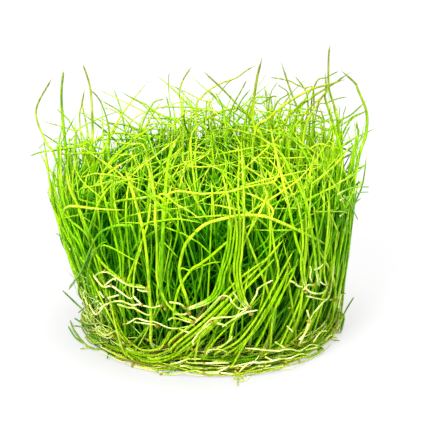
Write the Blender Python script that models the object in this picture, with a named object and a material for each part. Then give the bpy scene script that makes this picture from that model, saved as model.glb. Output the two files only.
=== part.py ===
"""Dwarf hairgrass, one clump as it comes out of its growing cup.

The clump stands on a thin flat mat of matted roots. On the mat stand the tufts: each is one crown
with the stems that grow from it. White runners lie on the outside of the clump and round its foot,
where they grew along the wall of the cup. Metres, +Z up, the origin at the centre of the mat's flat
underside. The side that faces -Y is the front.
"""

import math
import random

import bmesh
import bpy
import numpy as np
from mathutils import Matrix, Vector

# The cup that the clump grew in sets its size: about 66 mm across where the stems leave the foot.
FOOT_RADIUS = 0.0330
FOOT_HEIGHT = 0.0050  # above this the wall of stems leans out
CANOPY_HEIGHT = 0.0460  # where the lid turned the stems over
CUP_FLARE = 0.0065  # how far the wall leans out between the foot and the canopy
CUP_LEAN = 0.0022  # the clump slumps this much to its left, which is -X
WALL_SLACK = 0.0004
OVERHANG = 0.0025  # how much further out a stem may hang above the canopy

# The root mat is thin, with a rim that the runners round it have shaped.
MAT_RADIUS = 0.0310
MAT_HEIGHT = 0.0036
MAT_DOME = 0.0008
MAT_SIDES = 40
MAT_RIPPLE = 0.0004
MAT_FLAT = 0.93  # the flat part of its underside and top, as a share of its radius

# Crowns stand in rings: how many, and how far from the middle. Each is longer round the ring than
# across it. Its top has one three-sided face for each stem.
CROWN_RINGS = ((20, 0.0282), (14, 0.0210), (7, 0.0134), (4, 0.0060))
CROWN_JITTER = 0.0003
STEMS_PER_TUFT = 7
CROWN_LENGTH = 0.0034
CROWN_WIDTH = 0.0023
CROWN_HEIGHT = 0.0020
CROWN_TAPER = 0.88
JOINT_GAP = 0.0003  # between pieces that touch

# Stems: straight stretches from crown to tip, and how wide they are against the face they grow from.
STRETCHES = 4
WALL_STRETCHES = 8  # for the stems that lie on the wall
TALL_STRETCHES = 6
STEM_SCALE = 0.44
TIP_SCALE = 0.38
STEM_CLEARANCE = 0.0003

# Where a stem goes by itself: its height against the canopy's, taller at the rim, how far its top
# swings round the clump, how far the lid bends its tip over, and how far that lifts or drops it.
SHORT_STEM, TALL_STEM = 0.74, 1.10
RIM_EXTRA = 0.12
BACK_FALL = 0.0045  # how much lower the lid held the stems of the far rim
SWING = 0.008
BEND = 0.017
TIP_DROP, TIP_LIFT = -0.005, 0.006
BEND_START = 0.5  # as a share of the stem's length
EARLY_RISE = 0.2  # a stem climbs this much faster low down than on average
FAN = 1.5  # how far the stems of one crown spread apart at their tips, against their feet
TRIES = 240

# A placed stem grows from one of this many crown faces, and shifts in or out by steps to find room.
NEAR_FACES = 8
SHIFT = 0.0003
SHIFT_STEPS = 9

# The view that the tall stems are read in: from the front, above, through a long lens. A picture
# point is counted from the top left corner of a square picture.
VIEW_RISE = math.radians(22)
VIEW_DISTANCE = 0.550
VIEW_CENTRE = Vector((0.0008, 0.0, 0.0295))
VIEW_MIDDLE = 215  # in picture points
VIEW_FOCAL = 2150  # in picture points

# Tall stems that stand out above the canopy: how far each is towards +Y in millimetres, then its
# picture points from the canopy to its tip. Its root and its knee are under the first of them.
ROOT_SHARE = 0.74  # how far out the root is, against the stem where it leaves the canopy
KNEE_SHARE = 0.93
KNEE_HEIGHT = 0.55
KNEE_INSIDE = 0.003
TALL_STEMS = (
    # the left
    (-2, (53, 155), (42, 133), (36, 110), (44, 92), (52, 78)),
    (2, (66, 150), (63, 122), (61.5, 97), (63.5, 71)),
    (-2, (92, 148), (92, 118), (90.5, 90), (83, 64)),
    (4, (81.5, 138), (79.5, 117), (82.5, 98), (85, 86)),
    (6, (109.5, 150), (109, 130), (103, 107), (91, 90)),
    (12, (147, 138), (135, 124), (120, 111), (99, 99)),
    (8, (142, 141), (129, 134), (115, 126), (99, 117)),
    (10, (182, 131), (165, 118), (145, 104), (121, 92)),
    (12, (141, 134), (146, 120), (152, 105), (163, 99)),
    (-6, (59, 150), (65, 135), (77, 113)),
    (-4, (75.5, 152), (76, 138), (75, 120)),
    (-3, (92, 150), (70, 148), (50, 151), (30, 156)),
    (-6, (108, 154), (80, 153), (54, 154)),
    (2, (84, 139), (66, 128), (42, 121)),
    # the middle
    (6, (256, 130), (241, 110), (225, 92), (203, 71)),
    (16, (197, 108), (207, 92), (230, 80), (257, 65)),
    (2, (256, 132), (253, 107), (257, 78), (262.5, 57)),
    (10, (230, 118), (239, 100), (246.5, 80)),
    (2, (243, 134), (247, 113), (251.5, 99)),
    (3, (300, 114), (293, 96), (287, 77), (280.5, 60)),
    (6, (309, 92), (297, 85), (283, 79), (270, 78)),
    (20, (172, 108), (168.5, 90), (169.5, 72)),
    (16, (181, 106), (179.5, 94), (183, 80), (192, 66)),
    (22, (207, 108), (190, 94), (168, 84)),
    (14, (222, 113), (217, 100), (209, 90)),
    (20, (242, 129), (220, 113), (190, 107), (160, 110)),
    (12, (250, 113), (262, 103), (278, 97)),
    (8, (275, 111), (281, 103), (290, 92)),
    # the right
    (4, (338, 134), (335, 110), (328.5, 84), (328.5, 64), (330, 44)),
    (-2, (340, 152), (333, 125), (325.5, 100), (326, 85), (325, 71)),
    (-3, (360, 152), (367, 127), (365, 105), (355, 83), (340.5, 70)),
    (4, (300, 110), (315, 95), (333, 84), (352, 71)),
    (-2, (262, 126), (284, 105), (311, 90), (346, 79)),
    (4, (306, 124), (308, 105), (304, 89), (295, 76)),
    (0, (307, 127), (315, 109), (325, 92)),
    (2, (293, 135), (307, 111), (328, 89)),
    (8, (318, 111), (331, 101), (348, 97)),
    (4, (318, 140), (336, 126), (352, 114), (368, 99)),
    (-4, (355, 152), (358, 136), (357, 120)),
    (-2, (337, 151), (355, 138), (376, 128)),
    (2, (296, 129), (320, 123), (342, 119.5)),
    (2, (327, 150), (324, 126), (320, 107)),
)
# Tall stems of the far side: root, then points to the tip, each (x, y, z) in millimetres.
BACK_STEMS = (
    ((-10, 24, 6), (-11, 27, 36), (-11, 28, 46), (-12, 28, 52)),
    ((4, 26, 6), (4, 33, 36), (3, 34, 46), (1, 34, 51)),
    ((-17, 22, 6), (-22, 28, 34), (-24, 31, 46), (-26, 33, 52)),
    ((17, 21, 6), (21, 28, 36), (24, 32, 48), (28, 34, 54)),
    ((24, 13, 6), (31, 14, 36), (35, 14, 49), (40, 14, 53)),
    ((-24, 12, 6), (-31, 14, 34), (-36, 15, 48), (-40, 15, 53)),
)

# Stems that lie on the outside of the clump: azimuth in degrees from +X, then the height and the
# distance outside the wall, in millimetres. Each grows from the crown face nearest to its first point.
WALL_STEMS = {
    "big_arc": (
        (-104, 6, 0), (-104, 14, -1.6), (-101, 28, 1.4), (-93, 41, 1.8),
        (-78, 46, 1.8), (-60, 40, 1.6), (-38, 30, 1.4),
    ),
    "kinked": (
        (-112, 6, 0), (-113, 24, 2.6), (-109, 44, 1.4), (-99, 50, 1.2),
        (-81, 51.5, 1.2), (-67, 52.5, 1), (-62, 57, 0.4),
    ),
    "left_bow": (
        (-144, 6, 0), (-139, 24, -1.4), (-135, 34, 0.6), (-131, 43, 1.4), (-124, 50, 1.4), (-113, 53, 1),
    ),
    "left_low_bow": ((-170, 6, 0), (-158, 20, 2.4), (-145, 30, 1.6), (-132, 37, 1.4), (-118, 41, 1.2)),
    "right_broad": (
        (-50, 6, 0), (-50, 17, -1.6), (-51, 28, 0.4), (-54, 40, 1), (-58, 49, 0.8), (-65, 57, 0),
    ),
    "front_fork": ((-62, 6, 0), (-66, 26, 0.4), (-69, 39, -0.4), (-76, 48, 1.2), (-86, 54, 0.4)),
    "sweep_left": (
        (-124, 6, 0), (-118, 7, 1.4), (-111, 11, 2.8), (-103, 16, 2.8),
        (-95, 22, 2.6), (-88, 30, 1.6), (-83, 38, 1),
    ),
    "sweep_front": (
        (-94, 6, 0), (-91, 7, 1), (-84, 12, 2.4), (-78, 20, 2.6),
        (-73, 29, 1.4), (-68, 40, 0.4), (-62, 50, 0.4),
    ),
    "sweep_low": (
        (-82, 6, 0), (-76, 6.5, 0.8), (-69, 11, 1.2), (-63, 19, 1.4),
        (-60, 28, 1), (-61, 38, 0), (-62, 46, -1),
    ),
    "sweep_right": ((-30, 6, 0), (-22, 7, 1), (-12, 12, 1.4), (-4, 22, 1.2), (2, 34, 1), (6, 46, 0.4)),
    "right_bow": ((8, 6, 0), (4, 22, 1.2), (-4, 38, 1.4), (-16, 47, 1.2)),
    "back_bow": ((50, 6, 0), (54, 16, -1.6), (60, 30, 0.8), (72, 42, 1.4), (86, 48, 1.2), (98, 50, 0.8)),
    "back_sweep": (
        (124, 6, 0), (114, 6, 1), (102, 12, 2.8), (92, 24, 1.4), (84, 36, 1), (78, 46, 0.4),
    ),
    "back_left_bow": ((158, 6, 0), (154, 24, 2.6), (145, 40, 1.2), (132, 48, 1)),
}

# A runner is a smooth white stem. On the wall it starts in the mat's rim and ends among the stems:
# azimuth in degrees from +X and height in millimetres, between those ends.
RUNNER_RADIUS = 0.00055
RUNNER_POINTS = 11
WALL_RUNNERS = {
    "runner_left_upper": (
        (-163, 4), (-158, 9), (-150, 16), (-141, 22), (-132, 25.5), (-122, 25), (-114, 24.5),
    ),
    "runner_left_lower": ((-151, 4), (-147, 8), (-141, 13), (-131, 17), (-119, 19), (-109, 20)),
    "runner_front": (
        (-139, 4), (-133, 9), (-125, 13), (-115, 14.5), (-104, 13.5), (-95, 17), (-85, 23),
    ),
    "runner_front_low": ((-97, 4), (-94, 10), (-88, 15), (-80, 17), (-73, 15)),
    "runner_right_loop": ((-57, 4), (-55, 11), (-51, 18), (-46, 21.5), (-41, 20), (-38, 17.5)),
    "runner_right_long": ((-47, 4), (-44, 9), (-38, 12.5), (-33, 16), (-30, 22), (-30, 28)),
    "runner_right_back": ((10, 4), (16, 12), (30, 17), (44, 17), (58, 14)),
    "runner_back": ((82, 4), (92, 12), (106, 17), (122, 16), (136, 19)),
}
# Round the foot it lies against the mat's rim, given by azimuths and heights in the same way.
FOOT_RUNNERS = {
    "runner_foot_front": ((-131, 1.0), (-118, 1.1), (-104, 0.9), (-92, 1.1), (-80, 1.0)),
    "runner_foot_right": ((-70, 1.0), (-56, 1.1), (-42, 0.9), (-26, 1.1), (-10, 1.0)),
    "runner_foot_upper": ((-90, 2.5), (-76, 2.4), (-62, 2.6), (-48, 2.4), (-34, 2.5)),
    "runner_foot_back": ((60, 1.0), (80, 1.1), (100, 0.9), (120, 1.1), (138, 1.0)),
    "runner_foot_left": ((158, 1.0), (176, 1.1), (194, 0.9), (208, 1.0)),
}
RUNNER_START_RADIUS = 0.0316
RUNNER_START_HEIGHT = 0.0038
RUNNER_SINK = 0.0030  # how far inside the wall a runner's far end is


def wall_radius(azimuth, height):
    """How far the outside of the clump is from its middle: it swells out quickly above the foot."""
    rise = min(max((height - FOOT_HEIGHT) / (CANOPY_HEIGHT - FOOT_HEIGHT), 0.0), 1.0)
    flare = CUP_FLARE - CUP_LEAN * math.cos(azimuth)
    return FOOT_RADIUS + flare * math.sin(rise * math.pi / 2)


def polar(azimuth, radius, height):
    return Vector((radius * math.cos(azimuth), radius * math.sin(azimuth), height))


def wall_point(degrees, millimetres, out):
    """The point at an azimuth and a height that stands off the wall by so many metres."""
    azimuth, height = math.radians(degrees), millimetres * 0.001
    return polar(azimuth, wall_radius(azimuth, height) + out, height)


def segment_distance(start, end, starts, ends):
    """The shortest distance from one straight segment to each of many, as arrays of points."""
    d1, d2 = end - start, ends - starts
    offset = start - starts
    a, e = d1 @ d1, np.einsum("ij,ij->i", d2, d2)
    f, c, b = np.einsum("ij,ij->i", d2, offset), offset @ d1, d2 @ d1
    denominator = np.maximum(a * e - b * b, 1e-18)
    s = np.clip((b * f - c * e) / denominator, 0, 1)
    t = np.clip((b * s + f) / e, 0, 1)
    s = np.clip((b * t - c) / a, 0, 1)
    near = (start + s[:, None] * d1) - (starts + t[:, None] * d2)
    return np.sqrt(np.einsum("ij,ij->i", near, near))


class Space:
    """The straight stretches that pieces already fill, each with its radius and its owner."""

    def __init__(self):
        self.starts, self.ends = np.zeros((0, 3)), np.zeros((0, 3))
        self.radii, self.owners = np.zeros(0), np.zeros(0, int)
        self.first = np.zeros(0, bool)

    def fill(self, points, radii, owner):
        points = np.array(points, float)
        self.starts = np.vstack([self.starts, points[:-1]])
        self.ends = np.vstack([self.ends, points[1:]])
        self.radii = np.append(self.radii, np.maximum(radii[:-1], radii[1:]))
        self.owners = np.append(self.owners, np.full(len(points) - 1, owner))
        self.first = np.append(self.first, np.arange(len(points) - 1) == 0)

    def room(self, points, radii, owner):
        """The least clearance along a path. Stems of one crown may touch where they leave it."""
        least = 1.0
        points = np.array(points, float)
        for i in range(len(points) - 1):
            other = (self.owners != owner) | ((i > 0) & ~self.first) | ((i > 1) & self.first)
            gap = segment_distance(points[i], points[i + 1], self.starts[other], self.ends[other])
            least = min(least, (gap - self.radii[other] - max(radii[i], radii[i + 1])).min(initial=1.0))
            if least < STEM_CLEARANCE:
                break
        return least


def smooth_route(knots, count):
    """Points spaced evenly in parameter along the Catmull-Rom curve through the knots."""
    ends = [knots[0] * 2 - knots[1], *knots, knots[-1] * 2 - knots[-2]]
    made = []
    for step in range(count):
        along = step / (count - 1) * (len(knots) - 1)
        i = min(int(along), len(knots) - 2)
        t = along - i
        a, b, c, d = ends[i : i + 4]
        made.append(
            0.5 * (2 * b + (c - a) * t + (2 * a - 5 * b + 4 * c - d) * t**2 + (3 * b - a - 3 * c + d) * t**3)
        )
    return made


def material(name, colour, roughness):
    made = bpy.data.materials.new(name)
    made.use_nodes = True
    shader = made.node_tree.nodes["Principled BSDF"]
    shader.inputs["Base Color"].default_value = (*colour, 1)
    shader.inputs["Roughness"].default_value = roughness
    return made


def add_object(name, data, finish):
    made = bpy.data.objects.new(name, data)
    bpy.context.scene.collection.objects.link(made)
    data.materials.append(finish)
    return made


def root_mat(finish):
    """A thin disc with a rounded, slightly rippled rim, turned as rings about +Z."""
    # Each ring: its radius as a share of the mat's, and its height as a share of the mat's.
    rings = ((MAT_FLAT, 0.0), (0.985, 0.2), (1.0, 0.45), (0.985, 0.75), (MAT_FLAT, 1.0))
    bm = bmesh.new()
    loops = []
    for share, height in rings:
        loop = []
        for side in range(MAT_SIDES):
            turn = 2 * math.pi * side / MAT_SIDES
            ripple = MAT_RIPPLE * (0.6 * math.sin(5 * turn + 0.8) + 0.4 * math.sin(11 * turn + 2.1))
            radius = MAT_RADIUS * share + ripple * math.sin(height * math.pi)
            loop.append(bm.verts.new(polar(turn, radius, MAT_HEIGHT * height)))
        loops.append(loop)
    for low, high in zip(loops, loops[1:]):
        for i in range(MAT_SIDES):
            j = (i + 1) % MAT_SIDES
            bm.faces.new((low[i], low[j], high[j], high[i]))
    bm.faces.new(reversed(loops[0]))
    top = bm.faces.new(loops[-1])
    poked = bmesh.ops.poke(bm, faces=[top])
    poked["verts"][0].co.z += MAT_DOME
    mesh = bpy.data.meshes.new("root_mat")
    bm.to_mesh(mesh)
    bm.free()
    add_object("root_mat", mesh, finish)


def mat_top(radius):
    """The height of the mat's top at a distance from its middle."""
    return MAT_HEIGHT + MAT_DOME * max(0.0, 1 - max(radius, 0.0) / (MAT_FLAT * MAT_RADIUS))


def crown_places(rng):
    """The azimuth and the radius of each crown, ring by ring, with a little disorder."""
    for number, (count, radius) in enumerate(CROWN_RINGS):
        for i in range(count):
            drift = rng.uniform(-CROWN_JITTER, CROWN_JITTER)
            yield (i + 0.5 * (number % 2)) * 2 * math.pi / count + drift / radius, radius + drift


def crown_mesh(azimuth, radius):
    """The crown as a bmesh frustum whose top cap is a fan of faces, and the height of that cap."""
    bm = bmesh.new()
    foot = mat_top(radius - CROWN_WIDTH) + JOINT_GAP
    place = polar(azimuth, radius, foot + CROWN_HEIGHT / 2)
    stretch = Matrix.Diagonal((CROWN_WIDTH, CROWN_LENGTH, CROWN_HEIGHT, 1))
    bmesh.ops.create_cone(
        bm,
        cap_ends=True,
        cap_tris=True,
        segments=STEMS_PER_TUFT,
        radius1=1,
        radius2=CROWN_TAPER,
        depth=1,
        matrix=Matrix.Translation(place) @ Matrix.Rotation(azimuth, 4, "Z") @ stretch,
    )
    bmesh.ops.remove_doubles(bm, verts=bm.verts, dist=1e-7)
    bm.normal_update()
    top = [f for f in bm.faces if f.normal.z > 0.99]
    return bm, top, foot + CROWN_HEIGHT


def taper(share):
    """A stem's width against its width at the crown, from the crown (0) to the tip (1)."""
    return 1 - (1 - TIP_SCALE) * share


def section_radii(stretches):
    """The radius that a stem needs round its line at each of its points."""
    corner = 0.6 * STEM_SCALE * (CROWN_LENGTH + CROWN_WIDTH) / 2
    return np.array([corner * taper(i / stretches) for i in range(stretches + 1)])


def grow_stem(bm, face, path):
    """Extrudes one face of the crown along the path, tapering, and draws it to a point at the end."""
    centre = face.calc_center_median()
    shape = [v.co - centre for v in face.verts]
    for i in range(1, len(path) - 1):
        along = (path[i + 1] - path[i - 1]).normalized()
        turn = Vector((0, 0, 1)).rotation_difference(along)
        scale = STEM_SCALE * taper(i / (len(path) - 1))
        face = bmesh.ops.extrude_discrete_faces(bm, faces=[face])["faces"][0]
        for vert, corner in zip(face.verts, shape):
            vert.co = path[i] + turn @ (corner * scale)
    tip = bmesh.ops.poke(bm, faces=[face])["verts"][0]
    tip.co = path[-1]


def candidate(rng, root, crown, freedom):
    """One likely path: up beside the wall as the cup widens, then bent over by the lid."""
    reach = math.hypot(root.x, root.y) / MAT_RADIUS
    azimuth = math.atan2(root.y, root.x)
    height = CANOPY_HEIGHT * rng.uniform(SHORT_STEM, TALL_STEM) * (1 + RIM_EXTRA * reach)
    height -= BACK_FALL * reach * max(math.sin(azimuth), 0)
    swing = rng.gauss(0, SWING) * freedom / max(reach * MAT_RADIUS, SWING)
    bend_turn = rng.uniform(0, 2 * math.pi)
    bend = polar(bend_turn, rng.uniform(0, BEND) * freedom, rng.uniform(TIP_DROP, TIP_LIFT))
    fan = (root - crown) * FAN
    fan.z = 0
    path = [root]
    for i in range(1, STRETCHES + 1):
        share = i / STRETCHES
        z = root.z + (height - root.z) * share * (1 + EARLY_RISE * (1 - share))
        turn = azimuth + swing * share**1.5
        crook = (max(share - BEND_START, 0) / (1 - BEND_START)) ** 2
        path.append(polar(turn, reach * wall_radius(turn, z), z) + fan * share + bend * crook)
    return path


def inside_cup(path):
    """True if no point stands further out than the cup's wall, or above it than it may hang over."""
    for point in path:
        slack = WALL_SLACK if point.z < CANOPY_HEIGHT else OVERHANG
        if math.hypot(point.x, point.y) > wall_radius(math.atan2(point.y, point.x), point.z) + slack:
            return False
    return True


def wall_runner_route(knots):
    """From the mat's rim, over the outside of the stems, to an end a little inside the wall."""
    points = [wall_point(*knot, RUNNER_RADIUS + JOINT_GAP) for knot in knots]
    points[0] = polar(math.radians(knots[0][0]), RUNNER_START_RADIUS, RUNNER_START_HEIGHT)
    points[-1] = wall_point(*knots[-1], -RUNNER_SINK)
    return smooth_route(points, RUNNER_POINTS)


def foot_runner_route(knots):
    """Against the mat's rim, from the azimuths and heights of its points."""
    radius = MAT_RADIUS + MAT_RIPPLE + RUNNER_RADIUS + JOINT_GAP
    return smooth_route([polar(math.radians(a), radius, z * 0.001) for a, z in knots], RUNNER_POINTS)


def runner(name, route, finish):
    curve = bpy.data.curves.new(name, "CURVE")
    curve.dimensions = "3D"
    curve.bevel_depth = RUNNER_RADIUS
    curve.bevel_resolution = 1
    curve.use_fill_caps = True
    spline = curve.splines.new("POLY")
    spline.points.add(len(route) - 1)
    for point, place in zip(spline.points, route):
        point.co = (*place, 1)
    add_object(name, curve, finish)


def grow_runners(space, finish):
    routes = {name: wall_runner_route(knots) for name, knots in WALL_RUNNERS.items()}
    routes |= {name: foot_runner_route(knots) for name, knots in FOOT_RUNNERS.items()}
    for number, (name, route) in enumerate(routes.items()):
        space.fill(route, np.full(len(route), RUNNER_RADIUS), -1 - number)
        runner(name, route, finish)


class Crown:
    """One crown: its mesh under construction, the faces stems can grow from, and the stems' paths."""

    def __init__(self, number, azimuth, radius, space):
        self.number = number
        self.bm, self.faces, top = crown_mesh(azimuth, radius)
        self.centre = polar(azimuth, radius, top)
        self.stems = []
        along = polar(azimuth + math.pi / 2, CROWN_LENGTH - CROWN_WIDTH, 0)
        space.fill([self.centre - along, self.centre + along], np.full(2, CROWN_WIDTH), number)

    def grow(self, name, finish):
        """Makes the tuft's object. Its four-sided faces are split, since a stem that turns twists them."""
        for face, path in self.stems:
            grow_stem(self.bm, face, path)
        bmesh.ops.triangulate(self.bm, faces=[face for face in self.bm.faces if len(face.verts) > 3])
        mesh = bpy.data.meshes.new(name)
        self.bm.to_mesh(mesh)
        self.bm.free()
        add_object(name, mesh, finish)


def shifted(point, out):
    """The point moved straight away from the clump's middle axis."""
    return point + Vector((point.x, point.y, 0)).normalized() * out


def place_by_hand(crowns, space, knots, stretches):
    """Gives a stem with a chosen route to one of the free crown faces nearest to its first point.

    The stem stands off what is already there, or tucks in behind it, by as little as leaves it room.
    """
    free = [(crown, face) for crown in crowns for face in crown.faces]
    free.sort(key=lambda pair: (pair[1].calc_center_median() - knots[0]).length)
    radii = section_radii(stretches)
    for step in sorted(range(-SHIFT_STEPS, SHIFT_STEPS + 1), key=abs):
        for crown, face in free[:NEAR_FACES]:
            root = face.calc_center_median()
            route = [root, *(shifted(knot, step * SHIFT) for knot in knots[1:])]
            path = smooth_route(route, stretches + 1)
            if space.room(path, radii, crown.number) > STEM_CLEARANCE:
                space.fill(path, radii, crown.number)
                crown.faces.remove(face)
                crown.stems.append((face, path))
                return


def seen_point(pixel, depth):
    """Where the line of sight through a picture point meets the upright plane at a place along +Y."""
    right, up = (pixel[0] - VIEW_MIDDLE) / VIEW_FOCAL, (VIEW_MIDDLE - pixel[1]) / VIEW_FOCAL
    sine, cosine = math.sin(VIEW_RISE), math.cos(VIEW_RISE)
    eye = VIEW_CENTRE + VIEW_DISTANCE * Vector((0, -cosine, sine))
    sight = Vector((right, cosine + up * sine, up * cosine - sine))
    return eye + sight * ((depth - eye.y) / sight.y)


def tall_route(depth, *pixels):
    """A tall stem's root, its knee a little inside the wall, and its points above the canopy."""
    seen = [seen_point(pixel, depth * 0.001) for pixel in pixels]
    azimuth, reach = math.atan2(seen[0].y, seen[0].x), math.hypot(seen[0].x, seen[0].y)
    root = polar(azimuth, min(reach * ROOT_SHARE, MAT_RADIUS), FOOT_HEIGHT)
    height = seen[0].z * KNEE_HEIGHT
    knee = polar(azimuth, min(reach * KNEE_SHARE, wall_radius(azimuth, height) - KNEE_INSIDE), height)
    return [root, knee, *seen]


def place_at_random(crowns, space, rng):
    """Grows a stem from each face that is still free, if one of many tries finds it room."""
    free = [(crown, face) for crown in crowns for face in crown.faces]
    rng.shuffle(free)
    radii = section_radii(STRETCHES)
    for crown, face in free:
        root = face.calc_center_median()
        for attempt in range(TRIES):
            path = candidate(rng, root, crown.centre, 1.2 - attempt / TRIES)
            if inside_cup(path) and space.room(path, radii, crown.number) > STEM_CLEARANCE:
                space.fill(path, radii, crown.number)
                crown.stems.append((face, path))
                break


def grow_tufts(rng, space, finish):
    crowns = [Crown(i, azimuth, radius, space) for i, (azimuth, radius) in enumerate(crown_places(rng))]
    for knots in WALL_STEMS.values():
        place_by_hand(crowns, space, [wall_point(a, z, out * 0.001) for a, z, out in knots], WALL_STRETCHES)
    for stem in TALL_STEMS:
        place_by_hand(crowns, space, tall_route(*stem), TALL_STRETCHES)
    for knots in BACK_STEMS:
        place_by_hand(crowns, space, [Vector(knot) * 0.001 for knot in knots], TALL_STRETCHES)
    place_at_random(crowns, space, rng)
    for crown in crowns:
        crown.grow(f"tuft_{crown.number + 1:02d}", finish)


def main():
    for old in list(bpy.data.objects):
        bpy.data.objects.remove(old)
    space = Space()
    root_mat(material("root_felt", (0.46, 0.42, 0.17), 0.85))
    grow_runners(space, material("runner", (0.86, 0.85, 0.68), 0.40))
    grow_tufts(random.Random(7), space, material("stem", (0.30, 0.52, 0.05), 0.45))


main()
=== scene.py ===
import math

import bpy
import numpy as np
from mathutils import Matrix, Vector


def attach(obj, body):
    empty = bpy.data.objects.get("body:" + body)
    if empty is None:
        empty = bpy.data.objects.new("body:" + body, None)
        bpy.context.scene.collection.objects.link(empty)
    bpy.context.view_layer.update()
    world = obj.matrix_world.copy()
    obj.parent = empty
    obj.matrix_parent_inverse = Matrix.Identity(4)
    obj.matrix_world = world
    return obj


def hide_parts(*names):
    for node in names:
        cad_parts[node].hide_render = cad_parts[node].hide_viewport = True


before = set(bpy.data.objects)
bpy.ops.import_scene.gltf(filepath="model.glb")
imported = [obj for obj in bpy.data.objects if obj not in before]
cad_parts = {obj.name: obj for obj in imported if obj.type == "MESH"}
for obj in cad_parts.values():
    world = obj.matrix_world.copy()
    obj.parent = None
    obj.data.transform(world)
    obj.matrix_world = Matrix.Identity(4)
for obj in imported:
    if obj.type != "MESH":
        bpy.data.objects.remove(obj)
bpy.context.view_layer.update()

# The clump stands on a plain white surface and is seen from 22 degrees above it, with a long lens
# from about half a metre. The light is soft and high, and the strongest comes from the front left.
CAMERA_DISTANCE = 0.550
CAMERA_RISE = math.radians(22)
LOOK_AT = np.array((0.0008, 0.0, 0.0295))
LENS = 180.0
SENSOR = 36.0
PICTURE = 430
WORLD_LIGHT = 0.72
# Each light's name, place, width and power.
LIGHTS = (
    ("key_light", (-0.30, -0.55, 0.60), 0.30, 9.6),
    ("top_light", (0.05, 0.05, 0.95), 0.50, 9.8),
    ("fill_light", (0.60, -0.45, 0.40), 0.50, 3.4),
)
FLOOR_SIZE = 3.0
FLOOR_TONE = (0.17, 0.17, 0.17, 1)
FLOOR_ROUGHNESS = 0.8
FLOOR_GLOW_COLOUR = (0.93, 0.93, 0.93, 1)
FLOOR_GLOW = 0.67


def soft_light(name, place, size, power):
    """A square area light that faces the middle of the clump."""
    lamp = bpy.data.lights.new(name, "AREA")
    lamp.shape = "SQUARE"
    lamp.size = size
    lamp.energy = power
    made = bpy.data.objects.new(name, lamp)
    bpy.context.scene.collection.objects.link(made)
    made.location = place
    towards = made.location - Vector(LOOK_AT)
    made.rotation_euler = towards.to_track_quat("Z", "Y").to_euler()


eye = LOOK_AT + CAMERA_DISTANCE * np.array((0, -math.cos(CAMERA_RISE), math.sin(CAMERA_RISE)))
camera = bpy.data.objects.new("camera", bpy.data.cameras.new("camera"))
bpy.context.scene.collection.objects.link(camera)
camera.data.lens = LENS
camera.data.sensor_width = SENSOR
camera.data.clip_start = 0.01
camera.location = eye
camera.rotation_euler = (math.pi / 2 - CAMERA_RISE, 0, 0)
bpy.context.scene.camera = camera
bpy.context.scene.view_settings.view_transform = "Standard"

world = bpy.data.worlds.new("white_room")
bpy.context.scene.world = world
world.use_nodes = True
world.node_tree.nodes["Background"].inputs["Color"].default_value = (1, 1, 1, 1)
world.node_tree.nodes["Background"].inputs["Strength"].default_value = WORLD_LIGHT
for light in LIGHTS:
    soft_light(*light)

half = FLOOR_SIZE / 2
floor_corners = [(-half, -half, 0), (half, -half, 0), (half, half, 0), (-half, half, 0)]
floor_mesh = bpy.data.meshes.new("floor")
floor_mesh.from_pydata(floor_corners, [], [(0, 1, 2, 3)])
floor = bpy.data.objects.new("floor", floor_mesh)
bpy.context.scene.collection.objects.link(floor)
white_surface = bpy.data.materials.new("white_surface")
white_surface.use_nodes = True
surface_shader = white_surface.node_tree.nodes["Principled BSDF"]
surface_shader.inputs["Base Color"].default_value = FLOOR_TONE
surface_shader.inputs["Roughness"].default_value = FLOOR_ROUGHNESS
surface_shader.inputs["Emission Color"].default_value = FLOOR_GLOW_COLOUR
surface_shader.inputs["Emission Strength"].default_value = FLOOR_GLOW
floor_mesh.materials.append(white_surface)


# The root mat: fine roots, old stem feet and runners, grown into a thin felt on the floor of the cup.
# It is a low disc with a lumpy top and a rim of lying roots. The stems' feet are buried in it.
FOOT_RADIUS = 0.0330
FOOT_HEIGHT = 0.0050  # above this the wall of stems leans out
CANOPY_HEIGHT = 0.0460  # where the lid turned the stems over
CUP_FLARE = 0.0065  # how far the wall leans out between the foot and the canopy
CUP_LEAN = 0.0022  # the clump slumps this much to its left, which is -X
MAT_RADIUS = 0.0310
MAT_HEIGHT = 0.0036
MAT_DOME = 0.0008
MAT_GRID = (144, 40)
MAT_UNDER, MAT_RIM = 0.35, 0.20  # the shares of its profile that are underside and rim
MAT_INSET = 0.0016  # how much narrower its body is than its lying roots
MAT_BULGE = 0.0007
MAT_LUMPS = 0.0005
MAT_WAVES = ((9, 17, 0.0), (23, -31, 2.0), (41, 57, 4.0))  # round it, along its profile, and their phase
MAT_POLE = 0.02  # no lumps nearer the middle than this share of its radius
ROOTS = 560
ROOT_RADIUS = 0.00015
ROOT_THICKNESS = (0.7, 1.5)
ROOT_TIP = 0.6  # how thick a root's tip is against its start
ROOT_RINGS = 12
ROOT_SIDES = 4
ROOT_PLACES = (0.3, 1.0)  # the roots' span from the middle, as shares of the mat's area
ROOT_SWEEP = 0.5
ROOT_WANDER, ROOT_WAVES = 0.0018, (2, 6)
ROOT_PROUD = 0.0004
ROOT_LIFT = 0.0002
ROOT_DROP = 0.0030  # how far down the rim the outer roots lie
ROOT_LOWEST = 0.0003
# What the materials follow. Stems deep in the clump get painted shade, in full BURIED_DEPTH behind
# the wall and BURIED_DROP under the canopy. Their tint rises above LIT_FROM, as painted light on the
# canopy's top, and below PALE_BELOW. It is high from LIT_FROM on, over HIGH_RISE, and low under
# LOW_BELOW.
BURIED_FROM = 0.002  # under the canopy
BURIED_DEPTH = 0.0075
BURIED_DROP = 0.011
LIT_TINT = 0.26
LIT_FROM = 0.039
LIT_RISE = 0.008
HIGH_RISE = 0.035
PALE_TINT = 0.14
PALE_BELOW = 0.022
LOW_BELOW = 0.016
SIDEWAYS = (0.31, 0.95, 0.05)  # a direction that no stem starts in
SEED = 11

rng = np.random.default_rng(SEED)


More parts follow.
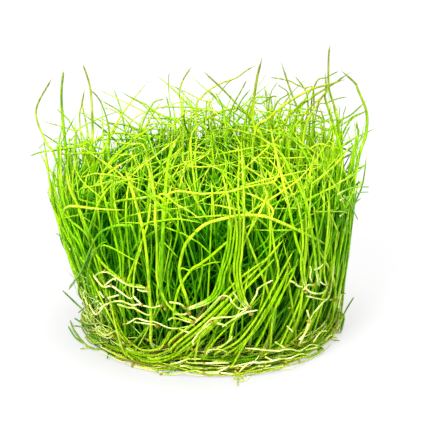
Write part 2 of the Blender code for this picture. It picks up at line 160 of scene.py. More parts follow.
def wall_radius(azimuth, height):
    """How far the outside of the clump is from its middle.

    The foot's radius, plus a flare that rises with height as a quarter of a sine wave and is wider
    towards -X by twice the lean.
    """
    rise = np.clip((height - FOOT_HEIGHT) / (CANOPY_HEIGHT - FOOT_HEIGHT), 0, 1)
    return FOOT_RADIUS + (CUP_FLARE - CUP_LEAN * np.cos(azimuth)) * np.sin(rise * math.pi / 2)


def polar(azimuth, radius, height):
    """Points from azimuths, distances from the middle axis and heights."""
    azimuth, radius, height = np.broadcast_arrays(azimuth, radius, height)
    return np.stack([radius * np.cos(azimuth), radius * np.sin(azimuth), height], axis=-1)


def unit(vectors):
    """The vectors made one long."""
    return vectors / np.maximum(np.linalg.norm(vectors, axis=-1, keepdims=True), 1e-12)


def tubes(paths, radii, sides, tint, age):
    """Many tubes at once, each round its own path, closed at its foot and drawn to a point.

    Ring k of a tube is path[k] + radius[k] (u cos a + v sin a), for evenly spaced angles a. u is the
    last ring's u less its part along the path, made one long, so the tube doesn't twist, and v is
    the path's direction crossed with u. The last point of the path is the tip. paths is
    (tubes, rings, 3), radii is (tubes, rings), and tint and age are one number for each tube. The
    tint is higher by up to LIT_TINT in the canopy, as painted light where the top light falls, and
    by up to PALE_TINT near the floor, where stems stay pale.
    """
    count, rings = paths.shape[:2]
    heading = unit(np.gradient(paths, axis=1))
    u = np.empty_like(paths)
    u[:, 0] = unit(np.cross(heading[:, 0], SIDEWAYS))
    for k in range(1, rings):
        along = np.sum(u[:, k - 1] * heading[:, k], axis=-1, keepdims=True)
        u[:, k] = unit(u[:, k - 1] - along * heading[:, k])
    v = np.cross(heading, u)
    angle = np.arange(sides) * 2 * math.pi / sides
    spoke = u[:, :-1, None] * np.cos(angle)[:, None] + v[:, :-1, None] * np.sin(angle)[:, None]
    ring_points = paths[:, :-1, None] + radii[:, :-1, None, None] * spoke
    points = np.concatenate([ring_points.reshape(count, -1, 3), paths[:, -1:]], axis=1)
    # Painted light: the tint is raised on the canopy's top, where the top light falls. Near the floor it is
    # raised because the stems' feet are pale.
    painted_light_and_pale = LIT_TINT * np.clip((points[..., 2] - LIT_FROM) / LIT_RISE, 0, 1)
    painted_light_and_pale += PALE_TINT * np.clip(1 - points[..., 2] / PALE_BELOW, 0, 1)
    share = np.linspace(0, 1, rings)
    along = np.append(np.repeat(share[:-1], sides), 1.0)

    first = np.arange(count)[:, None, None] * points.shape[1]
    ring = np.arange(rings - 2)[:, None] * sides
    side = np.arange(sides)
    after = (side + 1) % sides
    quads = np.stack([ring + side, ring + after, ring + after + sides, ring + side + sides], axis=-1)
    top = (rings - 2) * sides
    tips = np.stack([top + side, top + after, np.full(sides, top + sides)], axis=-1)
    return {
        "points": points.reshape(-1, 3),
        "faces": [
            (first + quads.reshape(1, -1, 4)).reshape(-1, 4),
            (first + tips[None]).reshape(-1, 3),
            (first[:, 0] + side[::-1]).reshape(-1, sides),
        ],
        "along": np.tile(along, count),
        "tint": (np.asarray(tint)[:, None] + painted_light_and_pale).ravel(),
        "age": np.repeat(age, points.shape[1]),
    }


def turned(points, tint, age):
    """A closed turned surface from a grid of points: each row is a ring, and the end rows are the poles."""
    rows, columns = points.shape[:2]
    first, last = 1, 1 + (rows - 2) * columns
    ring = first + np.arange(rows - 3)[:, None] * columns
    column = np.arange(columns)
    after = (column + 1) % columns
    quads = np.stack([ring + column, ring + after, ring + after + columns, ring + column + columns], axis=-1)
    low_pole = np.stack([np.zeros_like(column), first + after, first + column], axis=-1)
    top = last - columns
    high_pole = np.stack([top + column, top + after, np.full_like(column, last)], axis=-1)
    return {
        "points": np.concatenate([points[0, :1], points[1:-1].reshape(-1, 3), points[-1, :1]]),
        "faces": [quads.reshape(-1, 4), low_pole, high_pole],
        "along": np.zeros(last + 1),
        "tint": np.full(last + 1, tint),
        "age": np.full(last + 1, age),
    }


def painted_shade_depth(points):
    """How deep in the clump points lie, from 0 to 1.

    The depth inside the wall as a share of BURIED_DEPTH, times the depth under the canopy as a
    share of BURIED_DROP. The grass material darkens stems by it, as painted shade.
    """
    azimuth = np.arctan2(points[:, 1], points[:, 0])
    inside = wall_radius(azimuth, points[:, 2]) - np.hypot(points[:, 0], points[:, 1])
    under = (CANOPY_HEIGHT - BURIED_FROM - points[:, 2]) / BURIED_DROP
    return np.clip(inside / BURIED_DEPTH, 0, 1) * np.clip(under, 0, 1)


def piece(name, parts, finish, slot, *nodes):
    """One object made from several sets of points and faces, which stands for CAD nodes.

    Each point has six numbers for the material: its share along the stem, its tint, its age, how
    far into the clump it lies, which sets its painted shade, and how high and low it is.
    """
    start, points, corners, sizes = 0, [], [], []
    for part in parts:
        points.append(part["points"])
        for faces in part["faces"]:
            corners.append((faces + start).ravel())
            sizes.append(np.full(len(faces), faces.shape[1]))
        start += len(part["points"])
    points, corners, sizes = np.concatenate(points), np.concatenate(corners), np.concatenate(sizes)
    mesh = bpy.data.meshes.new(name)
    mesh.vertices.add(len(points))
    mesh.vertices.foreach_set("co", points.astype(np.float32).ravel())
    mesh.loops.add(len(corners))
    mesh.loops.foreach_set("vertex_index", corners.astype(np.int32))
    mesh.polygons.add(len(sizes))
    mesh.polygons.foreach_set("loop_start", (np.cumsum(sizes) - sizes).astype(np.int32))
    mesh.update(calc_edges=True)
    numbers = {key: np.concatenate([part[key] for part in parts]) for key in ("along", "tint", "age")}
    # How far into the clump each point lies, which sets the painted shade of stems inside it.
    numbers["painted_shade_depth"] = painted_shade_depth(points)
    numbers["high"] = np.clip((points[:, 2] - LIT_FROM) / HIGH_RISE, 0, 1)
    numbers["low"] = np.clip(1 - points[:, 2] / LOW_BELOW, 0, 1)
    for key, values in numbers.items():
        mesh.attributes.new(key, "FLOAT", "POINT").data.foreach_set("value", values.astype(np.float32))
    mesh.shade_smooth()
    mesh.materials.append(finish)
    made = bpy.data.objects.new(name, mesh)
    bpy.context.scene.collection.objects.link(made)
    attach(made, "root")
    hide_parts(*nodes)


class Finish:
    """A material under construction, with short ways to add and join its nodes."""

    def __init__(self, name, roughness):
        """A new material whose one shader has the given roughness."""
        self.material = bpy.data.materials.new(name)
        self.material.use_nodes = True
        self.tree = self.material.node_tree
        self.shader = self.tree.nodes["Principled BSDF"]
        self.shader.inputs["Roughness"].default_value = roughness

    def node(self, kind, **settings):
        """A new node of a kind, with its settings."""
        made = self.tree.nodes.new(kind)
        for key, value in settings.items():
            setattr(made, key, value)
        return made

    def link(self, source, target):
        """What comes out of the source goes into the target."""
        self.tree.links.new(source, target)

    def attribute(self, name):
        """One of the numbers that each point of a piece has."""
        return self.node("ShaderNodeAttribute", attribute_name=name).outputs["Fac"]

    def noise(self, scale, detail=3.0, stretch=(1, 1, 1)):
        """Noise on object coordinates, finer along the axes with the larger stretch."""
        mapping = self.node("ShaderNodeMapping")
        mapping.inputs["Scale"].default_value = stretch
        self.link(self.node("ShaderNodeTexCoord").outputs["Object"], mapping.inputs["Vector"])
        made = self.node("ShaderNodeTexNoise")
        made.inputs["Scale"].default_value = scale
        made.inputs["Detail"].default_value = detail
        self.link(mapping.outputs["Vector"], made.inputs["Vector"])
        return made.outputs["Fac"]

    def ramp(self, source, *stops):
        """A colour that follows a number: each stop is (number, (red, green, blue))."""
        made = self.node("ShaderNodeValToRGB")
        elements = made.color_ramp.elements
        while len(elements) < len(stops):
            elements.new(1.0)
        for element, (place, colour) in zip(elements, stops):
            element.position = place
            element.color = (*colour, 1)
        self.link(source, made.inputs["Fac"])
        return made.outputs["Color"]

    def mix(self, share, first, second, blend="MIX"):
        """Two colours mixed: share is a number or a socket."""
        made = self.node("ShaderNodeMix", data_type="RGBA", blend_type=blend)
        if isinstance(share, float):
            made.inputs["Factor"].default_value = share
        else:
            self.link(share, made.inputs["Factor"])
        self.link(first, made.inputs["A"])
        self.link(second, made.inputs["B"])
        return made.outputs["Result"]

    def bump(self, height, depth, strength=0.5):
        """Small dents in the light, from a height between 0 and 1 that counts as depth metres."""
        made = self.node("ShaderNodeBump")
        made.inputs["Distance"].default_value = depth
        made.inputs["Strength"].default_value = strength
        self.link(height, made.inputs["Height"])
        self.link(made.outputs["Normal"], self.shader.inputs["Normal"])


def mat_top(radius):
    """The height of the mat's domed top at a distance from its middle."""
    return MAT_HEIGHT + MAT_DOME * np.clip(1 - radius / MAT_RADIUS, 0, 1)


def mat_body():
    """The mat's felt: a profile turned round +Z, with lumps added along its radius and height.

    The profile goes out under the mat, up its rim and back over its top.
    """
    turns, rows = MAT_GRID
    turn = np.arange(turns) * 2 * math.pi / turns
    lap = np.linspace(0, 1, rows)[:, None]
    inward = (1 - lap) / (1 - MAT_UNDER - MAT_RIM)
    radius = np.where(lap < MAT_UNDER, lap / MAT_UNDER, np.where(lap < MAT_UNDER + MAT_RIM, 1.0, inward))
    edge = np.clip((lap - MAT_UNDER) / MAT_RIM, 0, 1)
    height = MAT_HEIGHT * edge
    bulge = np.sin(edge * math.pi) * MAT_BULGE
    waves = sum(np.sin(round_it * turn + across * lap + phase) for round_it, across, phase in MAT_WAVES)
    lumps = waves * MAT_LUMPS / len(MAT_WAVES)
    body = (MAT_RADIUS - MAT_INSET) * np.clip(radius, 0.0, 1) + bulge + lumps * (radius > MAT_POLE) * edge
    top = np.where(lap > MAT_UNDER + MAT_RIM, MAT_DOME * (1 - radius) + lumps * radius, 0)
    return polar(turn[None], body, height + top)


def mat_roots():
    """Fine roots on the mat, lying mostly round it, each a short arc that wanders in radius and height."""
    radius = MAT_RADIUS * np.sqrt(rng.uniform(*ROOT_PLACES, ROOTS))
    start = rng.uniform(0, 2 * math.pi, ROOTS)
    sweep = rng.normal(0, ROOT_SWEEP, ROOTS)
    share = np.linspace(0, 1, ROOT_RINGS)
    azimuth = start[:, None] + sweep[:, None] * share
    wander = rng.normal(0, ROOT_WANDER, (ROOTS, 1)) * np.sin(share * rng.uniform(*ROOT_WAVES, (ROOTS, 1)))
    radii = np.minimum(radius[:, None] + wander, MAT_RADIUS + ROOT_PROUD)
    at_rim = np.clip((radii - MAT_RADIUS + MAT_INSET) / MAT_INSET, 0, 1)
    height = mat_top(radii) + ROOT_LIFT - at_rim * rng.uniform(0, ROOT_DROP, (ROOTS, 1))
    return polar(azimuth, radii, np.maximum(height + rng.normal(0, ROOT_LIFT, (ROOTS, 1)), ROOT_LOWEST))


# Dark matted felt, and the roots on it by tint from brown to cream.
felt = Finish("root_felt", 0.85)
felt_tone = felt.ramp(
    felt.noise(420.0, 5.0),
    (0.25, (0.03, 0.05, 0.008)),
    (0.50, (0.12, 0.16, 0.02)),
    (0.80, (0.36, 0.40, 0.10)),
)
root_tone = felt.ramp(
    felt.attribute("tint"),
    (0.0, (0.16, 0.12, 0.03)),
    (0.4, (0.34, 0.42, 0.06)),
    (1.0, (0.84, 0.84, 0.56)),
)
felt.link(felt.mix(felt.attribute("age"), felt_tone, root_tone), felt.shader.inputs["Base Color"])
felt.bump(felt.noise(900.0, 4.0), 0.0004, 0.8)

roots = mat_roots()
root_radii = ROOT_RADIUS * rng.uniform(*ROOT_THICKNESS, (ROOTS, 1)) * np.linspace(1, ROOT_TIP, ROOT_RINGS)
piece(
    "root_mat_felt",
    [
        turned(mat_body(), 0.5, 0.0),
        tubes(roots, root_radii, ROOT_SIDES, rng.uniform(0, 1, ROOTS), np.ones(ROOTS)),
    ],
    felt.material,
    "root_felt",
    "root_mat",
)


# The tufts: forty-five crowns in four rings, each with a bundle of thin round stems that grow up
# beside the cup's wall and were bent over by its lid. Feet are pale where no light reached them.
CROWN_RINGS = ((20, 0.0282), (14, 0.0210), (7, 0.0134), (4, 0.0060))  # crowns and radius of each ring
RING_STEMS = (64, 36, 30, 24)  # stems of each crown in a ring
FLOOR_GAP = 0.0005  # no stem's middle line is lower than this
WALL_STEM_RADIUS = (0.00019, 0.00041)
INNER_STEM_RADIUS = (0.00019, 0.00036)
FINE_STEPS = 44
STEM_RINGS = 13
STEM_SIDES = 5
# How much a path's bends draw its points together, and how a stem starts and ends.
BEND_WEIGHT, LEAST_TURNING = 0.9, 0.3
FOOT_SHARE, STUB = 0.05, 0.02
# Where stems are rooted: how far from their crown's middle, outwards and round.
ROOT_SPREAD = (0.0046, 0.0056)
ROOT_LIMITS = (0.0005, FOOT_RADIUS - 0.0004)
LEAST_RING = 0.004
OUTER_RIM = 0.78  # stems rooted further out than this share of the mat's radius stand at the wall
ROOT_DEPTH = 0.0008
RIM_EDGE = 0.0015  # within this of the mat's edge they start lower, by up to RIM_DEPTH
RIM_DEPTH = 0.0022
# How stems bend: the height and spread of the bend, then for each kind of stem the degrees that it
# turns by and the length past its bend.
BEND_HEIGHT = (0.0410, 0.0060)
BEND_LIMITS = (0.024, 0.056)
STRAIGHT_SHARE, STRAIGHT_TURN, STRAIGHT_RUN = 0.74, (0, 42), (0.001, 0.012)
BENT_TURN, BENT_RUN = (34, 88), (0.016, 0.040)
LOOPED_SHARE, LOOPED_TURN = 0.14, (95, 145)
KINKED_SHARE, KINK_WIDTH = 0.05, (0.001, 0.004)
BEND_WIDTH = (0.022, 0.055)
BEND_START = (0.3, 0.9)  # where the bend starts, as a share of its width
FRONT_RUN = 0.024  # the longest run of the outer stems in front
TIP_CLEARANCE = 0.008  # other stems end at least this far above the floor if they hang straight down
# Which way they turn: out past the wall, in over the clump, or round beside the wall.
TURN_OUT_SHARE = 0.12
AT_ENDS = 0.8  # none turn out at the left and right ends, where the azimuth's cosine is past this
TURN_IN_SHARE = 0.45
TURN_SPREAD = 0.7  # in radians
# How they stray on the way up: a swing round the clump, a lean, a ripple, and the front foot's sweep.
SLANTING = 0.20
SWING = (0.62, 0.20)  # of slanting stems and of the others
SWING_INSIDE, SWING_TO_RIM = 0.6, 0.4  # its share in the middle of the clump, and what the rim adds
SWING_LEAST, SWING_END = 0.3, 1.1  # its share at the root, and how fast it comes and goes from there
SLUMP, SLUMP_AZIMUTH, SLUMP_END = 0.22, math.radians(110), 1.2  # all stems swing this much to one side
LEAN_SPREAD, LEAN_INSIDE, LEAN_TO_RIM = 0.07, 1.2, 0.7  # the lean is less at the rim
RIPPLE = (0.02, 0.08)
RIPPLE_TURNS = (4, 3.5)  # in radians along a stem, for x and y
FRONT_SWEEPS = ((1.5, -112, 34), (0.55, -42, 30))  # strength, azimuth and width in degrees
SWEEP_SPREAD = (0.0, 1.25)
SWEEP_HEIGHT = 0.017  # it fades with height as a bell curve this wide
# How far they stay inside the wall, and stand out over it above OVERHANG_FROM if they turn out or not.
WALL_SLACK, SLACK_POWER = 0.0048, 1.3
OVERHANG = (0.006, 0.002)
OVERHANG_FROM, OVERHANG_RISE = 0.036, 0.010
# Fewer stems: in the hollow of the front, on both sides of it, and at the back left. Each has the share
# left out, then its azimuth and width in degrees.
FRONT_HOLLOW = (0.45, -95, 24)
FRONT_THINNING = (0.25, -85, 50)
BACK_LEFT = (148, 42)
BACK_LEFT_THINNING = 0.35
BACK_LEFT_FROM = 0.5  # only further out than this share of the mat's radius
# The top of the clump: the lid's height and spread, and the height that unbent stems may reach.
LID_HEIGHT = (0.0470, 0.0042)
LID_FALL = 0.0045  # how much lower it is at the rim of the back
BACK_LEFT_FALL = 0.0055  # and, on top of that, at the rim of the back left
LID_SOFTNESS = 0.35  # the share of what stood above a stem's place that stays
FREE_TOP = (0.0300, 0.0565)
FRONT_RISE = 0.0075  # how much higher it may be in front
# Their shades: spread and limits of the tint, the painted backlight that lightens the two ends of the
# clump, and the dry ones.
TINT = (0.58, 0.25)
TINT_LIMITS = (0.10, 0.96)
EDGE_BACKLIGHT_TINT = 0.24
DRY_SHARE = 0.006

# The crowns stand in rings, and every second ring is turned by half a crown.
ring_counts = [count for count, _ in CROWN_RINGS]
crown_azimuth = np.concatenate(
    [(np.arange(count) + 0.5 * (ring % 2)) * 2 * math.pi / count for ring, count in enumerate(ring_counts)]
)
crown_radius = np.repeat([radius for _, radius in CROWN_RINGS], ring_counts)
crown_stems = np.repeat(RING_STEMS, ring_counts)
crowns = polar(crown_azimuth, crown_radius, 0.0)


def hump(degrees, middle, width):
    """A bell curve: one at the middle, falling off on both sides over the width."""
    return np.exp(-(((degrees - middle) / width) ** 2))


def growth():
    """The fine paths of all ordinary stems, (stems, FINE_STEPS, 3), with each one's tuft and root radius.

    A stem goes forward by equal steps. Its heading is up and outward with the cup's flare, and round
    with a swing of its own and with the sweep that all the stems of the clump's front foot share.
    From its bend on, the heading turns over towards a level direction, in a wide arc or a kink.
    Last, some stems are left out where the clump is thin, and the heights of a stem that would be
    above its own place under the cup's lid are scaled down, most of the way to it.
    """
    tuft = np.repeat(np.arange(len(crown_stems)), crown_stems)
    total, ring_radius = len(tuft), crown_radius[tuft]
    root_radius = np.clip(ring_radius + rng.uniform(-1, 1, total) * ROOT_SPREAD[0], *ROOT_LIMITS)
    aside = rng.uniform(-1, 1, total) * ROOT_SPREAD[1] / np.maximum(ring_radius, LEAST_RING)
    root_azimuth = crown_azimuth[tuft] + aside
    rim = root_radius / MAT_RADIUS
    outer = rim > OUTER_RIM
    in_front = np.sin(root_azimuth) < 0

    bend = np.clip(rng.normal(*BEND_HEIGHT, total), *BEND_LIMITS)
    straight = rng.uniform(0, 1, total) < STRAIGHT_SHARE
    looped = rng.uniform(0, 1, total) < LOOPED_SHARE
    over = np.where(looped, rng.uniform(*LOOPED_TURN, total), rng.uniform(*BENT_TURN, total))
    over = np.radians(np.where(straight, rng.uniform(*STRAIGHT_TURN, total), over))
    kinked = (rng.uniform(0, 1, total) < KINKED_SHARE) & ~(outer & in_front)
    width = np.where(kinked, rng.uniform(*KINK_WIDTH, total), rng.uniform(*BEND_WIDTH, total))
    run = np.where(straight, rng.uniform(*STRAIGHT_RUN, total), rng.uniform(*BENT_RUN, total))
    run = np.minimum(run, np.where(outer & in_front, FRONT_RUN, bend - TIP_CLEARANCE))
    length = bend + run
    start = bend - width * rng.uniform(*BEND_START, total)
    at_ends = np.abs(np.cos(root_azimuth)) >= AT_ENDS
    turn_out = (rng.uniform(0, 1, total) < TURN_OUT_SHARE) & ~at_ends
    turn_in = rng.uniform(0, 1, total) < TURN_IN_SHARE
    beside = rng.choice((-1, 1), total) * math.pi / 2 + rng.normal(0, TURN_SPREAD, total)
    beside = np.where(turn_in, math.pi + rng.normal(0, TURN_SPREAD, total), beside)
    turn = np.where(outer & ~turn_out, beside, rng.uniform(0, 2 * math.pi, total))
    slanting = rng.uniform(0, 1, total) < SLANTING
    swing = rng.normal(0, np.where(slanting, *SWING), total) * (SWING_INSIDE + SWING_TO_RIM * rim)
    lean = rng.normal(0, LEAN_SPREAD, (total, 2)) * (LEAN_INSIDE - LEAN_TO_RIM * rim)[:, None]
    phase = rng.uniform(0, 2 * math.pi, (total, 2))
    wave = rng.uniform(*RIPPLE, (total, 1))
    slack = -WALL_SLACK * rng.uniform(0, 1, total) ** SLACK_POWER
    degrees = (np.degrees(root_azimuth) + 180) % 360 - 180
    sweep = sum(strength * hump(degrees, middle, wide) for strength, middle, wide in FRONT_SWEEPS)
    sweep *= rng.uniform(*SWEEP_SPREAD, total) * rim**2

    over_rim = np.clip((root_radius - MAT_RADIUS + RIM_EDGE) / RIM_EDGE, 0, 1)
    here = polar(root_azimuth, root_radius, mat_top(root_radius) - ROOT_DEPTH - RIM_DEPTH * over_rim)
    path, step = [here], length / (FINE_STEPS - 1)
    for k in range(1, FINE_STEPS):
        gone = (k - 0.5) * step
        share = (k - 0.5) / (FINE_STEPS - 1)
        at = np.arctan2(here[:, 1], here[:, 0])
        out = np.hypot(here[:, 0], here[:, 1])
        rise = np.clip((here[:, 2] - FOOT_HEIGHT) / (CANOPY_HEIGHT - FOOT_HEIGHT), 0, 1)
        flare = (CUP_FLARE - CUP_LEAN * np.cos(at)) * np.cos(rise * math.pi / 2)
        outward = out / MAT_RADIUS * flare * (math.pi / 2) / (CANOPY_HEIGHT - FOOT_HEIGHT)
        drift = SLUMP * np.sin(at + SLUMP_AZIMUTH) * rim * math.sin(math.pi * min(1.0, share * SLUMP_END))
        drift = drift + swing * (SWING_LEAST + math.sin(math.pi * min(1.0, share * SWING_END)))
        drift = drift + sweep * np.exp(-((here[:, 2] / SWEEP_HEIGHT) ** 2))
        radial, around = polar(at, 1.0, 0.0), polar(at + math.pi / 2, 1.0, 0.0)
        heading = np.array((0, 0, 1)) + radial * outward[:, None] + around * drift[:, None]
        ripple = np.sin(RIPPLE_TURNS[0] * share + phase[:, 0]), np.cos(RIPPLE_TURNS[1] * share + phase[:, 1])
        heading[:, :2] += lean + wave * np.stack(ripple, axis=-1)
        t = np.clip((gone - start) / width, 0, 1)
        bent = (t * t * (3 - 2 * t) * over)[:, None]
        heading = unit(heading) * np.cos(bent) + polar(at + turn, 1.0, 0.0) * np.sin(bent)
        ahead = here + unit(heading) * step[:, None]
        limit = wall_radius(np.arctan2(ahead[:, 1], ahead[:, 0]), ahead[:, 2]) + slack
        above = np.clip((ahead[:, 2] - OVERHANG_FROM) / OVERHANG_RISE, 0, 1)
        limit = limit + np.where(turn_out, *OVERHANG) * above
        reach = np.hypot(ahead[:, 0], ahead[:, 1])
        ahead[:, :2] *= np.minimum(1, limit / np.maximum(reach, 1e-6))[:, None]
        ahead[:, 2] = np.maximum(ahead[:, 2], FLOOR_GAP)
        here = ahead
        path.append(ahead)

    hollow = FRONT_HOLLOW[0] * hump(degrees, *FRONT_HOLLOW[1:])
    share, middle, wide = FRONT_THINNING
    hollow = (hollow + share * (np.abs(degrees - middle) < wide)) * outer
    back_left = hump(degrees, *BACK_LEFT)
    kept = rng.uniform(0, 1, total) > hollow + BACK_LEFT_THINNING * back_left * (rim > BACK_LEFT_FROM)

    path = np.stack(path, axis=1)
    rise = FRONT_RISE * np.clip(-np.sin(root_azimuth), 0, 1)
    free = rng.uniform(*FREE_TOP, total) + rise * rng.uniform(0, 1, total)
    behind = np.clip(np.sin(root_azimuth), 0, 1) * rim
    lid = np.where(straight, free, LID_HEIGHT[0] + LID_HEIGHT[1] * (1 + behind) * rng.normal(0, 1, total))
    lid -= (LID_FALL * (np.sin(root_azimuth) > 0) + BACK_LEFT_FALL * back_left) * rim
    top = path[..., 2].max(axis=1)
    lid = np.where(top > lid, lid + LID_SOFTNESS * (top - lid), top)
    path[..., 2] *= (lid / top)[:, None]
    return path[kept], tuft[kept], rim[kept]


def running_total(sizes):
    """The sum of each row's sizes up to each of its points, from zero at the first."""
    return np.concatenate([np.zeros((len(sizes), 1)), np.cumsum(sizes, axis=1)], axis=1)


def thin_out(paths, rings):
    """The same paths with fewer points, spaced so that there are more of them where a path bends.

    Each fine stretch counts as its share of the length plus its share of all the turning, and the
    points kept are at equal counts.
    """
    pieces = np.diff(paths, axis=1)
    turns = np.linalg.norm(np.diff(unit(pieces), axis=1), axis=-1)
    turning = np.concatenate([turns[:, :1], turns], axis=1) + np.concatenate([turns, turns[:, -1:]], axis=1)
    size = np.linalg.norm(pieces, axis=-1)
    counts = size / size.sum(axis=1, keepdims=True)
    counts += BEND_WEIGHT * turning / (turning.sum(axis=1, keepdims=True) + LEAST_TURNING)
    reached = running_total(counts)
    wanted = np.linspace(0, 1, rings)[None] * reached[:, -1:]
    place = np.clip((reached[:, None, :] <= wanted[:, :, None]).sum(axis=-1) - 1, 0, paths.shape[1] - 2)
    before = np.take_along_axis(reached, place, axis=1)
    after = np.take_along_axis(reached, place + 1, axis=1)
    share = ((wanted - before) / np.maximum(after - before, 1e-9))[..., None]
    low = np.take_along_axis(paths, place[..., None], axis=1)
    high = np.take_along_axis(paths, place[..., None] + 1, axis=1)
    return low + (high - low) * share


def stem_radii(thick, paths, taper=0.32, tip=0.20, foot=0.30):
    """A stem's radius at each point, from its thickness and its share of the length up to there.

    It is wider by foot at the root, which falls off over FOOT_SHARE, and less by taper times the
    share squared. Over the last tip of its length it goes in as a square root does.
    """
    size = np.linalg.norm(np.diff(paths, axis=1), axis=-1)
    share = running_total(size) / size.sum(axis=1)[:, None]
    swell = 1 + foot * np.exp(-share / FOOT_SHARE)
    drawn_in = np.sqrt(np.clip((1 + STUB - share) / tip, 0, 1))
    return thick[:, None] * (swell * (1 - taper * share**2) * drawn_in)


